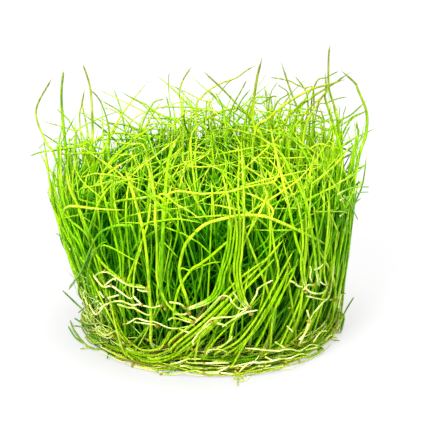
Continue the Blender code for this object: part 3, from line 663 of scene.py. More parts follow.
# Single stems that show: radius in STEM_SIZE, tint, how far they stand off the wall in ROOTED_PROUD,
# then points. Each is read from root to tip in the picture's own points, and lies on the wall of the
# clump. Those that start above the foot are led down to the mat behind the others.
STEM_SIZE = 0.00080
ROOTED_PROUD = 0.0006
ROOTED_LEAST_TINT = 0.45
ROOTED_STEMS = (
    # the left edge
    (0.36, 0.63, 0.2, (84, 317), (80, 296), (78, 277), (66, 245), (52, 180)),
    (0.34, 0.70, 0.4, (90, 318), (84, 281), (60, 210), (56, 190)),
    (0.38, 0.58, 0.4, (96, 300), (90, 277), (80, 246), (71, 233), (65, 220), (58, 200), (51, 172)),
    (0.36, 0.69, 0.5, (101, 277), (89, 240), (81, 229), (70, 220), (53, 200)),
    (0.44, 0.75, 0.8, (146, 290), (127, 283), (105, 266), (95, 252), (88, 236), (76, 203)),
    (0.40, 0.70, 0.4, (110, 300), (104, 281), (94, 244), (86, 226), (78, 206), (70, 190), (66, 170)),
    (0.34, 0.53, 0.3, (101, 310), (95, 290), (84, 250), (68, 214), (61, 190), (58, 165)),
    # vertical stems of the front left
    (0.40, 0.63, 0.3, (121, 310), (120, 261), (104, 196), (100, 172)),
    (0.36, 0.55, 0.2, (124, 300), (123, 250), (115, 206), (112, 180)),
    (0.34, 0.62, 0.2, (131, 296), (130, 270), (126, 220), (127, 196), (131, 170)),
    (0.50, 0.85, 1.6, (151, 342), (151, 317), (144, 236), (125, 168)),
    (0.44, 0.85, 1.6, (193, 323), (182, 317), (168, 305), (161, 291), (157, 277), (157, 261), (157, 240),
     (155, 220), (155, 199), (150, 174), (143, 151)),
    (0.34, 0.75, 1.2, (158, 300), (158, 281), (161, 245), (168, 200), (172, 184)),
    (0.40, 0.81, 1, (126, 290), (127, 283), (147, 226), (151, 190)),
    (0.60, 0.37, 1.8, (161, 290), (162, 258), (163, 227), (166, 181), (169, 158), (175, 143), (186, 127)),
    (0.32, 0.48, 0.8, (170, 298), (168, 271), (176, 240), (178, 222), (176, 205)),
    # big arcs and what crosses them
    (0.48, 0.85, 2, (187, 300), (182, 285), (179, 271), (181, 258), (185, 245), (192, 236), (200, 228),
     (208, 223), (218, 220), (231, 217), (244, 215), (262, 216), (275, 220), (295, 229), (312, 237),
     (329, 246)),
    (0.42, 0.79, 1.6, (174, 317), (178, 291), (191, 270), (200, 264), (211, 256), (226, 243), (254, 222)),
    (0.28, 0.70, 1.8, (160, 244), (179, 258)),
    (0.26, 0.70, 1.8, (101, 247), (132, 259), (142, 266)),
    (0.28, 0.75, 1.2, (180, 272), (191, 270), (211, 263), (224, 262)),
    (0.28, 0.66, 1.4, (208, 300), (212, 205), (211, 181)),
    (0.36, 0.84, 1.6, (164, 200), (205, 194), (229, 192), (251, 186), (273, 182), (280, 171), (290, 155)),
    (0.28, 0.84, 1.4, (266, 178), (273, 182), (282, 193), (290, 210)),
    (0.34, 0.75, 1.6, (158, 199), (179, 206), (192, 213), (204, 223)),
    (0.30, 0.62, 1.4, (140, 232), (167, 220), (186, 220), (205, 224)),
    (0.40, 0.48, 1.6, (166, 205), (134, 199), (100, 205)),
    (0.42, 0.36, 1.4, (90, 245), (95, 213), (100, 200), (110, 187), (123, 181), (137, 179), (141, 181)),
    (0.38, 0.30, 2.2, (134, 232), (127, 226), (115, 226), (97, 236), (82, 270), (75, 280), (69, 290)),
    (0.32, 0.26, 1.8, (89, 290), (91, 259), (101, 244), (107, 242)),
    (0.34, 0.85, 1.4, (278, 274), (275, 252), (271, 222), (273, 212), (268, 204), (252, 195), (238, 192)),
    (0.32, 0.79, 1.2, (230, 262), (230, 212), (222, 172)),
    (0.40, 0.81, 1.6, (239, 289), (238, 277), (243, 245), (263, 206), (268, 190)),
    (0.34, 0.79, 1.4, (235, 294), (230, 272), (250, 230), (254, 214)),
    (0.44, 0.42, 1.6, (306, 215), (300, 189), (290, 171), (281, 154), (264, 140), (244, 132), (213, 126)),
    (0.34, 0.62, 1, (244, 220), (241, 137)),
    (0.34, 0.53, 0.9, (239, 222), (238, 200), (239, 158), (237, 140)),
    # stems that sweep round the foot and up to the right
    (0.30, 0.60, 0.9, (116, 318), (125, 337), (139, 349), (149, 350.5), (158, 348), (165, 343), (170, 335),
     (176, 316)),
    (0.32, 0.84, 1.1, (129, 341), (141, 349.5), (157, 349.5), (163, 345), (170, 330)),
    (0.36, 0.62, 1.3, (112, 330), (117, 340), (124, 348), (133, 353.5), (155, 355.5), (177, 346), (188, 337),
     (210, 314)),
    (0.34, 0.50, 1.2, (114, 334), (121, 345), (131, 354), (143, 359), (156, 359.5), (169, 356), (181, 350),
     (193, 341), (205, 330), (217, 317)),
    (0.42, 0.74, 1.8, (122, 346), (127, 354), (133, 360), (141, 365.5), (162, 369.5), (180, 364), (205, 339)),
    (0.38, 0.66, 1.6, (128, 351), (140, 359), (152, 362), (166, 360), (180, 353), (194, 343), (208, 330),
     (221, 316), (234, 301), (246, 288)),
    (0.40, 0.78, 1.8, (165, 360), (180, 351), (204, 331), (228, 306), (264, 270), (275, 258)),
    (0.42, 0.84, 2, (172, 348), (204, 321), (228, 298), (262, 264), (285, 238)),
    (0.34, 0.70, 1.9, (176, 350), (200, 329), (244, 283)),
    (0.40, 0.80, 2.1, (170, 342), (204, 315), (238, 280), (274, 254)),
    (0.34, 0.62, 1.3, (188, 350), (224, 316), (256, 272)),
    (0.38, 0.86, 1.8, (196, 369), (195, 360), (199, 340), (205, 331), (230, 307)),
    (0.36, 0.82, 1.8, (222, 372), (230, 367), (235, 361), (244, 345), (259, 322), (266, 308)),
    (0.34, 0.90, 1.6, (217, 349), (224, 345), (229, 340), (233, 324), (241, 306), (247, 280), (249, 266)),
    (0.30, 0.72, 1.2, (206, 352), (224, 331), (254, 303), (263, 292)),
    # the right front, slanting up to the right
    (0.36, 0.84, 1.6, (216, 353), (237, 342), (253, 323), (267, 300), (275, 284), (294, 250)),
    (0.34, 0.75, 1.4, (224, 356), (241, 344), (256, 327), (280, 286), (290, 264)),
    (0.36, 0.66, 1.2, (236, 352), (258, 327), (278, 293), (286, 277), (300, 262)),
    (0.32, 0.79, 1.4, (262, 356), (270, 348), (272, 323), (276, 306), (292, 276), (298, 258)),
    (0.32, 0.72, 1.2, (252, 352), (262, 336), (270, 318), (280, 300), (286, 282), (288, 262)),
    (0.34, 0.79, 1.2, (276, 352), (281, 344), (302, 296), (312, 255)),
    (0.34, 0.84, 1.4, (294, 356), (298, 318), (303, 283), (303, 262), (300, 240)),
    (0.32, 0.75, 1, (300, 344), (306, 330), (315, 317), (321, 300), (328, 284), (334, 262), (335, 249),
     (338, 222)),
    (0.34, 0.69, 0.8, (322, 340), (330, 323), (334, 300), (340, 252), (350, 205)),
    (0.36, 0.63, 0.6, (334, 334), (338, 329), (342, 306), (345, 277), (349, 249), (350, 220), (352, 200)),
    (0.32, 0.53, 0.4, (330, 330), (343, 255), (348, 210)),
    (0.30, 0.72, 0.8, (310, 338), (318, 318), (330, 276), (334, 255), (340, 230)),
    # wide spear of the right front, and its neighbours
    (0.46, 0.70, 1.6, (304, 272), (296, 240), (285, 190), (274, 145), (270, 122)),
    (0.32, 0.79, 1, (262, 300), (266, 272), (270, 250), (270, 225), (268, 200), (262, 180)),
    (0.30, 0.62, 1, (310, 262), (322, 220), (324, 200), (322, 178)),
    # two yellow stems that lean down to the floor at the left
    (0.36, 0.93, 2.2, (130, 362), (126, 355), (115, 323), (109, 290)),
    (0.32, 0.90, 2, (119, 333), (88, 272)),
)
# Stems of young plants, which start at a joint of a runner part of the way up the wall: radius in
# STEM_SIZE, tint, how far they stand off the wall in mm, then points. They are thin at the joint.
RUNNER_STEM_FOOT = -0.60
RUNNER_STEMS = (
    (0.32, 0.90, 1.4, (133, 296), (135, 268), (142, 246)),
    (0.36, 0.62, 1.6, (187, 309), (209, 300), (218, 289), (222, 272), (228, 254), (233, 215)),
    (0.34, 0.58, 1.5, (188, 308), (206, 300), (215, 289), (225, 254), (228, 238), (230, 212)),
    (0.34, 0.66, 1.6, (188, 310), (210, 302), (221, 290), (225, 273), (231, 256), (237, 214)),
    (0.38, 0.80, 1.7, (248, 307), (241, 300), (236, 283), (234, 266), (237, 235), (233, 200)),
    (0.36, 0.74, 1.7, (250, 307), (243, 299), (238, 283), (237, 266), (239, 252), (240, 235), (240, 215)),
    (0.36, 0.86, 1.7, (249, 306), (245, 299), (241, 283), (240, 266), (242, 252), (245, 205)),
    (0.36, 0.84, 1.4, (306, 289), (302, 277), (301, 260), (303, 243), (301, 220), (296, 196)),
    (0.34, 0.78, 1.4, (307, 288), (304, 272), (306, 238), (306, 214)),
    (0.44, 0.62, 1.6, (318, 285), (310, 220), (300, 178)),
    (0.34, 0.74, 1.4, (319, 286), (320, 268), (314, 206)),
    (0.32, 0.90, 1.4, (327, 288), (324, 268), (328, 226), (329, 200)),
)


# Where the picture's lines of sight are searched for the wall, from the middle towards the eye and on.
WALK_NEAR, WALK_FAR, WALK_STEP = 0.060, 0.020, 0.00025
# How a traced stem is led to its root: on the rim of the mat, inside the wall, with a knee between.
ROOT_INSET, ROOT_SINK = 0.0015, 0.0005
LOW_START, AT_MAT = 0.009, MAT_HEIGHT + 0.001
LED_KNEE_INSET = 0.0035
RAISED_ROOT, RAISED_KNEE, RAISED_KNEE_HEIGHT, RAISED_KNEE_INSET = 0.74, 0.93, 0.55, 0.0030
LEAN_FROM = 0.044
LEAN_SHARE = 0.66


def sight_lines(pixels):
    """The directions from the eye through picture points, each one long along the view's own axis."""
    pixels = np.asarray(pixels, float)
    half_picture, focal = PICTURE / 2, PICTURE * LENS / SENSOR
    right, up = (pixels[:, 0] - half_picture) / focal, (half_picture - pixels[:, 1]) / focal
    sine, cosine = math.sin(CAMERA_RISE), math.cos(CAMERA_RISE)
    return np.stack([right, cosine + up * sine, up * cosine - sine], axis=-1)


def on_wall(pixels, proud):
    """Where the lines of sight through picture points meet the outside of the clump.

    Each line is walked in quarter-millimetre steps, and the place is the first one that is no
    further from the middle axis than the wall plus proud. A line that passes beside the clump
    stops where it comes nearest to the wall.
    """
    sight = sight_lines(pixels)
    walk = np.arange(CAMERA_DISTANCE - WALK_NEAR, CAMERA_DISTANCE + WALK_FAR, WALK_STEP)
    spots = eye + sight[:, None] * walk[:, None]
    gap = np.hypot(spots[..., 0], spots[..., 1]) - proud
    gap -= wall_radius(np.arctan2(spots[..., 1], spots[..., 0]), spots[..., 2])
    gap[spots[..., 2] < FLOOR_GAP] = 1.0
    inside = gap <= 0
    first = np.where(inside.any(axis=1), inside.argmax(axis=1), gap.argmin(axis=1))
    return spots[np.arange(len(sight)), first]


def at_depth(pixels, depth):
    """Where the lines of sight through picture points are at the given place or places along +Y."""
    sight = sight_lines(pixels)
    return eye + sight * ((depth - eye[1]) / sight[:, 1])[:, None]


def through(knots, count):
    """Evenly counted points along the Catmull-Rom curve through the knots."""
    knots = np.asarray(knots, float)
    ends = np.concatenate([2 * knots[:1] - knots[1:2], knots, 2 * knots[-1:] - knots[-2:-1]])
    place = np.linspace(0, len(knots) - 1, count)
    i = np.minimum(place.astype(int), len(knots) - 2)
    t = (place - i)[:, None]
    a, b, c, d = ends[i], ends[i + 1], ends[i + 2], ends[i + 3]
    return 0.5 * (2 * b + (c - a) * t + (2 * a - 5 * b + 4 * c - d) * t**2 + (3 * b - a - 3 * c + d) * t**3)


def led_down(route):
    """The route with a start added: from the mat's rim, up behind the other stems to its first point.

    The knee between them is at half the height of the first point. A route that starts under
    LOW_START has none, and one that starts at the mat is joined to the root by its second point.
    """
    low = route[0]
    azimuth, height = np.arctan2(low[1], low[0]), low[2]
    root = polar(azimuth, MAT_RADIUS - ROOT_INSET, MAT_HEIGHT - ROOT_SINK)
    if height < LOW_START:
        return np.concatenate([root[None], route[1:] if height < AT_MAT else route])
    middle = polar(azimuth, wall_radius(azimuth, height / 2) - LED_KNEE_INSET, height / 2)
    return np.concatenate([root[None], middle[None], route])


def leaned_back(route):
    """The route with its top leaned back over the canopy, which doesn't change how it looks from the eye.

    Each point higher than LEAN_FROM moves away along its own line of sight until what it rises above
    LEAN_FROM is LEAN_SHARE of what it was.
    """
    rise = np.maximum(route[:, 2] - LEAN_FROM, 0) * (1 - LEAN_SHARE)
    away = 1 + rise / (eye[2] - route[:, 2])
    return eye + (route - eye) * away[:, None]


def raised(route):
    """The route with its lower part added: from the mat, up inside the wall to its first point.

    The root and the knee between them are RAISED_ROOT and RAISED_KNEE as far from the middle axis as
    the first point is, and the knee is at RAISED_KNEE_HEIGHT of its height.
    """
    low = route[0]
    azimuth, reach = np.arctan2(low[1], low[0]), np.hypot(low[0], low[1])
    root = polar(azimuth, min(reach * RAISED_ROOT, MAT_RADIUS - ROOT_INSET), MAT_HEIGHT - ROOT_SINK)
    height = low[2] * RAISED_KNEE_HEIGHT
    inside = wall_radius(azimuth, height) - RAISED_KNEE_INSET
    knee = polar(azimuth, min(reach * RAISED_KNEE, inside), height)
    return np.concatenate([root[None], knee[None], route])


# Short stems that stick out past the wall: radius in STEM_SIZE, tint, then points from root to tip.
STRAY_PROUD = 0.0004
STRAY_STEMS = (
    (0.30, 0.40, (88, 313), (81, 308), (62, 290)),
    (0.36, 0.62, (107, 349), (89, 347), (75, 332), (70, 320)),
    (0.28, 0.30, (86, 345), (75, 337), (68, 326)),
    (0.32, 0.28, (96, 329), (88, 326), (74, 318)),
    (0.26, 0.50, (94, 331), (80, 326.5), (73, 326)),
    (0.28, 0.30, (93, 248), (91, 255), (79, 275), (71, 285), (69, 290)),
    (0.28, 0.34, (98, 301), (87, 306), (78, 313)),
    (0.22, 0.45, (70, 250), (64, 240), (56, 233)),
    (0.34, 0.32, (108, 343), (99, 338), (86, 334)),
    (0.28, 0.28, (120, 351), (110, 351), (107, 359)),
    (0.24, 0.30, (97, 297), (81, 294)),
    (0.26, 0.40, (126, 357), (120, 358), (113, 356)),
    (0.28, 0.58, (338, 330), (345, 312), (354, 297)),
    # short shoots by the floor
    (0.30, 0.96, (235, 366), (241, 370), (245, 371)),
    (0.34, 0.98, (235, 371), (243, 379)),
    (0.26, 0.94, (233, 378), (241, 380)),
    (0.26, 0.92, (238, 377), (237.5, 386)),
    (0.24, 0.92, (328, 338), (333, 340), (340, 340.5)),
    (0.28, 0.90, (326, 336), (337, 338)),
    (0.24, 0.92, (92, 347), (80, 349)),
    (0.26, 0.88, (98, 342), (94, 340), (90, 340)),
    (0.24, 0.45, (340, 182), (352, 176), (367, 164)),
    (0.24, 0.50, (338, 194), (348, 189), (357, 187), (370, 187)),
    (0.22, 0.45, (340, 200), (358, 193), (369, 192)),
    (0.22, 0.40, (340, 216), (361, 198)),
    (0.24, 0.45, (344, 196), (350, 204), (358, 220)),
    (0.22, 0.50, (330, 300), (346, 293)),
)
# Stems that stand out above the canopy: radius in TALL_STEM_SIZE, tint, place along Y in mm, then points
# from the canopy to the tip. Each is read from the picture at its own distance, drifts nearer or further
# by up to TALL_DRIFT at the tip, and is led down to the mat.
TALL_STEM_SIZE = 0.00125
TALL_DRIFT = 0.0030
TALL_FORM = {"taper": 0.55, "tip": 0.04}
TALL_STEMS = (
    # the left
    (0.34, 0.60, -2, (56, 160), (46, 142), (36, 111), (52, 78)),
    (0.50, 0.36, 2, (67, 158), (61.5, 100), (63.5, 71)),
    (0.42, 0.62, -2, (92, 158), (92.5, 130), (90.5, 90), (83, 64)),
    (0.28, 0.70, 4, (83, 150), (79.5, 117), (82, 104), (85, 86)),
    (0.32, 0.66, 5, (82, 150), (84, 142), (88, 134), (82, 104), (82.4, 98)),
    (0.30, 0.44, 6, (110, 160), (109, 130), (105, 113), (99, 99), (91, 90)),
    (0.28, 0.62, 12, (150, 142), (128, 117), (99, 99)),
    (0.26, 0.66, 14, (136, 140), (123, 117), (110, 109), (103, 108)),
    (0.26, 0.38, 8, (146, 143), (131, 136), (124, 131), (99, 117)),
    (0.22, 0.40, 4, (148, 147), (132, 139), (110, 131)),
    (0.36, 0.40, 10, (186, 134), (157, 113), (145, 104), (138, 101), (121, 92)),
    (0.26, 0.42, 14, (163, 134), (158, 122), (153, 116), (149, 110), (138, 101), (132, 98)),
    (0.34, 0.50, 12, (140, 138), (152, 105), (163, 99)),
    (0.26, 0.32, -6, (58, 154), (60, 145), (77, 113)),
    (0.32, 0.64, -4, (75, 162), (76, 145), (75, 120)),
    (0.24, 0.58, 2, (84, 139), (72, 130), (42, 121)),
    (0.20, 0.66, 8, (66, 144), (46, 143.5), (38, 149)),
    (0.34, 0.46, -3, (92, 150), (76, 147), (42, 152), (30, 156)),
    (0.32, 0.32, 0, (88, 148), (80, 146.5), (60, 150), (41, 151)),
    (0.34, 0.36, -6, (108, 154), (100, 153), (54, 154)),
    (0.38, 0.34, 6, (106, 156), (86, 147), (70, 144), (60, 144)),
    (0.30, 0.34, -4, (59, 158), (62, 125)),
    (0.34, 0.72, 2, (146, 152), (130, 144.5), (110, 142)),
    (0.34, 0.74, -4, (136, 163), (120, 155), (110, 154)),
    (0.28, 0.44, 0, (70, 146), (71, 140), (78, 132)),
    # the middle
    (0.36, 0.50, 6, (262, 138), (231, 98), (203, 71)),
    (0.28, 0.70, 16, (196, 112), (202, 97), (212, 88), (224, 82), (236, 78), (247, 70), (257, 65)),
    (0.22, 0.66, 18, (206, 110), (210, 102), (216, 97), (225, 86), (230, 81), (236, 78)),
    (0.46, 0.66, 2, (262, 143), (254, 127), (253, 107), (257, 78), (262.5, 57)),
    (0.28, 0.42, 10, (228, 124), (246.5, 80)),
    (0.28, 0.40, 12, (226, 123), (236, 110), (243, 98), (251.5, 88)),
    (0.30, 0.42, 2, (242, 140), (245, 121), (251.5, 99)),
    (0.34, 0.50, 3, (302, 124), (300, 114), (291, 92), (280.5, 60)),
    (0.28, 0.62, 6, (314, 97), (304, 88), (297, 85), (290, 81), (276, 78), (270, 78)),
    (0.20, 0.86, 20, (174, 114), (169.5, 100), (168.5, 80), (169.5, 72)),
    (0.32, 0.72, 16, (182, 114), (179.5, 94), (183, 80), (192, 66)),
    (0.24, 0.72, 22, (211, 113), (197, 98), (168, 84)),
    (0.28, 0.54, 14, (225, 121), (217, 100), (209, 90)),
    (0.28, 0.42, 20, (249, 134), (242, 129), (235, 124), (228, 118), (220, 113), (210, 110), (200, 109),
     (190, 107), (170, 107), (165, 107), (160, 110)),
    (0.34, 0.34, 12, (250, 113), (262, 103), (273, 97)),
    (0.28, 0.38, 14, (248, 108), (271, 97), (278, 97)),
    (0.20, 0.60, 14, (269, 104), (277, 82)),
    (0.26, 0.52, 12, (290, 104), (278, 84)),
    (0.30, 0.36, 8, (273, 114), (290, 92)),
    (0.26, 0.74, 12, (246, 119), (268, 112), (276, 111)),
    (0.32, 0.34, 6, (294, 129), (287, 125), (270, 119)),
    (0.26, 0.80, 18, (190, 122), (209, 110), (221, 118), (226, 125)),
    (0.26, 0.78, 16, (168, 132), (173, 124), (186, 112), (193, 110), (200, 111)),
    (0.24, 0.60, 14, (272, 128), (272, 108), (271, 99), (268, 92)),
    # the right
    (0.38, 0.58, 4, (339, 144), (335, 110), (329, 88), (328.5, 60), (330, 44)),
    (0.42, 0.42, -2, (342, 164), (335, 130), (325.5, 100), (326, 92), (326, 85), (325, 71)),
    (0.44, 0.46, -3, (357, 164), (361, 149), (366, 134), (366.5, 112), (358, 90), (355, 83), (340.5, 70)),
    (0.36, 0.38, 4, (296, 116), (311, 98), (330, 86), (352, 71)),
    (0.38, 0.70, -2, (254, 136), (268, 119), (284, 105), (300, 95), (315, 88), (331, 84), (346, 79)),
    (0.26, 0.48, 6, (313, 92), (328, 77), (339, 71)),
    (0.32, 0.48, 4, (305, 128), (308, 112), (306, 92), (295, 76)),
    (0.38, 0.74, 0, (304, 134), (315, 109), (325, 92)),
    (0.36, 0.72, 2, (290, 140), (304, 115), (310, 107), (325, 94), (328, 89)),
    (0.34, 0.60, 6, (285, 126), (303, 104), (322, 91)),
    (0.24, 0.50, 8, (316, 114), (327, 103), (340, 98), (348, 97)),
    (0.20, 0.58, 8, (338, 126), (340, 106)),
    (0.20, 0.58, 8, (342, 124), (346, 106)),
    (0.32, 0.42, 4, (311, 146), (336, 126), (341, 120), (352, 114), (368, 99)),
    (0.32, 0.46, 2, (329, 134), (336, 128), (348, 121), (354, 116), (367, 111)),
    (0.46, 0.34, -4, (352, 166), (358, 134), (357, 127), (357, 120)),
    (0.30, 0.42, -2, (333, 154), (340, 149), (349, 141), (376, 128)),
    (0.30, 0.42, 2, (290, 131), (328, 121), (342, 119.5)),
    (0.24, 0.36, 4, (290, 130), (310, 124), (316, 121)),
    (0.24, 0.36, 8, (281, 111), (304, 109), (328, 113)),
    (0.30, 0.56, 0, (340, 153), (344, 138), (351, 124)),
    (0.32, 0.66, 2, (328, 160), (324, 128), (324, 120), (319, 106)),
    (0.30, 0.72, -4, (300, 156), (310, 149), (316, 145), (322, 144), (328, 146), (340, 147)),
    (0.26, 0.40, 0, (356, 152), (361, 140), (365, 134)),
    (0.26, 0.34, 2, (340, 147), (320, 147), (309, 154)),
)
# Stems of the far side that stand above it, hidden in part: radius in TALL_STEM_SIZE, tint, then places
# as x, y and z in mm.
BACK_STEMS = (
    (0.30, 0.42, (-10, 24, 4), (-11, 27, 36), (-11, 28, 46), (-12, 28, 52)),
    (0.32, 0.40, (4, 26, 4), (4, 33, 36), (3, 34, 46), (1, 34, 51)),
    (0.32, 0.40, (-17, 22, 4), (-22, 28, 34), (-24, 31, 46), (-26, 33, 52)),
    (0.32, 0.42, (17, 21, 4), (21, 28, 36), (24, 32, 48), (28, 34, 54)),
    (0.34, 0.42, (24, 13, 4), (31, 14, 36), (35, 14, 49), (40, 14, 53)),
    (0.34, 0.42, (-24, 12, 4), (-31, 14, 34), (-36, 15, 48), (-40, 15, 53)),
    (0.32, 0.44, (-6, 28, 4), (-8, 35, 34), (-12, 38, 42), (-17, 40, 44)),
    (0.32, 0.48, (10, 27, 4), (13, 34, 34), (12, 38, 43), (8, 41, 46)),
)


# Green by tint, with mottles, streaks that are partly painted highlight stripes, and tiny specks of
# painted highlight on the canopy. It is pale at the foot, and duller at the tip, by the floor and
# high up, and darkened deep inside as painted shade. Dead stems are brown.
grass = Finish("grass_stem", 0.36)
along = grass.attribute("along")
tone = grass.ramp(
    grass.attribute("tint"),
    (0.00, (0.012, 0.120, 0.001)),
    (0.25, (0.052, 0.260, 0.001)),
    (0.55, (0.180, 0.470, 0.001)),
    (0.80, (0.310, 0.580, 0.003)),
    (1.00, (0.500, 0.710, 0.030)),
)
foot_tone = grass.ramp(along, (0.0, (0.72, 0.76, 0.30)), (1.0, (0.46, 0.66, 0.06)))
foot_share = grass.ramp(
    along,
    (0.00, (0.88, 0.88, 0.88)),
    (0.07, (0.50, 0.50, 0.50)),
    (0.19, (0, 0, 0)),
)
tip_share = grass.ramp(along, (0.0, (0, 0, 0)), (0.86, (0, 0, 0)), (1.0, (0.55, 0.55, 0.55)))
tip_tone = grass.ramp(along, (0.0, (0.12, 0.26, 0.004)), (1.0, (0.15, 0.23, 0.008)))
mottle = grass.ramp(
    grass.noise(260.0, 4.0, (1, 1, 0.35)),
    (0.30, (0.80, 0.82, 0.80)),
    (0.70, (1.12, 1.08, 1.0)),
)
# Streaks along the stems: partly random tone, and partly painted highlight stripes down each stem.
streak_and_sheen = grass.ramp(
    grass.noise(2600.0, 2.0, (1, 1, 0.06)),
    (0.38, (0.54, 0.69, 0.5)),
    (0.62, (1.32, 1.20, 1.1)),
)
dry = grass.ramp(along, (0.0, (0.34, 0.24, 0.06)), (0.6, (0.22, 0.12, 0.03)), (1.0, (0.36, 0.24, 0.08)))
# Painted shade: stems deep in the clump are darkened and made greener, as if shaded by the others.
painted_depth_shade = grass.ramp(
    grass.attribute("painted_shade_depth"),
    (0.00, (1, 1, 1)),
    (0.15, (0.66, 0.88, 0.4)),
    (0.35, (0.28, 0.66, 0.15)),
    (1.00, (0.05, 0.38, 0.03)),
)
# Painted highlights: pale specks on the stems of the canopy's top, where the top light falls.
highlight_specks = grass.ramp(grass.noise(650.0, 3.0, (1, 1, 0.5)), (0.60, (0, 0, 0)), (0.70, (0.6, 0.6, 0.6)))
lifted = grass.attribute("high")
high = grass.mix(1.0, highlight_specks, grass.ramp(lifted, (0.0, (0, 0, 0)), (0.23, (1, 1, 1))), "MULTIPLY")
olive = grass.ramp(lifted, (0.34, (1, 1, 1)), (0.62, (0.80, 0.62, 0.7)), (1.0, (0.48, 0.40, 0.5)))
highlight_speck_tone = grass.ramp(along, (0.0, (0.66, 0.90, 0.16)), (1.0, (0.66, 0.90, 0.16)))
colour = grass.mix(foot_share, tone, foot_tone)
colour = grass.mix(tip_share, colour, tip_tone)
colour = grass.mix(1.0, colour, mottle, "MULTIPLY")
colour = grass.mix(1.0, colour, streak_and_sheen, "MULTIPLY")
colour = grass.mix(high, colour, highlight_speck_tone)
colour = grass.mix(grass.attribute("age"), colour, dry)
colour = grass.mix(1.0, colour, painted_depth_shade, "MULTIPLY")
colour = grass.mix(1.0, colour, olive, "MULTIPLY")
dull = grass.ramp(grass.attribute("low"), (0.0, (1, 1, 1)), (1.0, (0.66, 0.60, 0.66)))
colour = grass.mix(1.0, colour, dull, "MULTIPLY")
grass.link(colour, grass.shader.inputs["Base Color"])
grass.shader.inputs["Specular IOR Level"].default_value = 0.22
grass.shader.inputs["Specular Tint"].default_value = (0.85, 1.0, 0.15, 1)
grass.shader.inputs["Subsurface Weight"].default_value = 0.15
grass.shader.inputs["Subsurface Radius"].default_value = (0.6, 1.0, 0.1)
grass.shader.inputs["Subsurface Scale"].default_value = 0.0004
grass.bump(grass.noise(2400.0, 2.0, (1, 1, 0.12)), 0.00006, 0.4)

paths, tuft, rim = growth()
total = len(paths)
paths = thin_out(paths, STEM_RINGS)
outer = rim > OUTER_RIM
thick = np.where(outer, rng.uniform(*WALL_STEM_RADIUS, total), rng.uniform(*INNER_STEM_RADIUS, total))
tint = np.clip(rng.normal(*TINT, total), *TINT_LIMITS)
# Painted light: stems at the left and right ends of the clump are made lighter, as if backlit by the white
# room.
backlit_side = np.abs(paths[:, 0, 0] / np.hypot(paths[:, 0, 0], paths[:, 0, 1]))
tint += EDGE_BACKLIGHT_TINT * backlit_side**4 * rim
age = np.where(rng.uniform(0, 1, total) < DRY_SHARE, 1.0, 0.0)
radii = stem_radii(thick, paths)
parts = []
for n in range(len(crowns)):
    mine = tuft == n
    parts.append([tubes(paths[mine], radii[mine], STEM_SIDES, tint[mine], age[mine])])


# Stems and roots that lie round the foot: how far each goes round, how it wanders, and where it lies.
COILS = 360
COIL_RINGS = 13
COIL_OWNER = 4  # the ring of a coil whose place says which tuft or runner it belongs to
COIL_SWEEP = (0.25, 0.95)
COIL_WAYS = (0.3, 0.7)  # the shares that go clockwise and the other way
COIL_WANDER, COIL_WAVES = 0.0004, (4, 11)
COIL_LOWEST, COIL_RISE, COIL_POWER = 0.0005, 0.0058, 1.4  # its height, with more of them low
COIL_LIFT = 0.006  # how far a tip may rise from there
COIL_SWAY = 1.4  # how far it goes up and down, against in and out
COIL_BULGE = 0.0020  # how far one of the front may bulge out
BULGE_FULL, BULGE_HEIGHT = 1.3, 0.004  # the bulge falls off by a whole in each BULGE_HEIGHT
COIL_RADIUS = (MAT_RADIUS - 0.0012, FOOT_RADIUS + 0.0002)
COIL_TUCK, TUCK_SHARE = 0.0018, 0.06  # its start is this much further in, over this share
COIL_THICKNESS = (0.00018, 0.00036)
COIL_TINT = (0.15, 1.0)
COIL_DRY_SHARE, COIL_AGE = 0.07, 0.8
SINGLE_STEPS, SINGLE_RINGS, SINGLE_SIDES = 160, 36, 6


def foot_coils():
    """Stems that lie round the foot: arcs of a circle that wander in and out, and rise towards the tip.

    Those of the front that lie low bulge out, and the first share of each is tucked in.
    """
    each = (COILS, 1)
    share = np.linspace(0, 1, COIL_RINGS)
    sweep = rng.uniform(*COIL_SWEEP, each) * rng.choice((-1, 1), each, p=COIL_WAYS)
    azimuth = rng.uniform(-math.pi, math.pi, each) + sweep * share
    wander = COIL_WANDER * np.sin(share * rng.uniform(*COIL_WAVES, each) + rng.uniform(0, 6, each))
    level = COIL_LOWEST + COIL_RISE * rng.uniform(0, 1, each) ** COIL_POWER
    lift = rng.uniform(0, COIL_LIFT, each) * share**3
    height = np.maximum(level + lift + COIL_SWAY * wander, FLOOR_GAP)
    low = np.clip(BULGE_FULL - height / BULGE_HEIGHT, 0, 1)
    bulge = COIL_BULGE * rng.uniform(0, 1, each) * low * (np.sin(azimuth) < 0)
    radius = rng.uniform(*COIL_RADIUS, each) + wander + bulge
    return polar(azimuth, radius - COIL_TUCK * (share < TUCK_SHARE), height)


def add_single(route, radius, shade, taper=0.15, tip=0.10, foot=0.30):
    """One traced stem, joined to the tuft whose crown is nearest to its root."""
    path = thin_out(through(route, SINGLE_STEPS)[None], SINGLE_RINGS)
    owner = np.argmin(np.linalg.norm(crowns[:, :2] - route[0, :2], axis=1))
    radii = stem_radii(np.array([radius]), path, taper, tip, foot)
    parts[owner].append(tubes(path, radii, SINGLE_SIDES, np.array([shade]), np.zeros(1)))


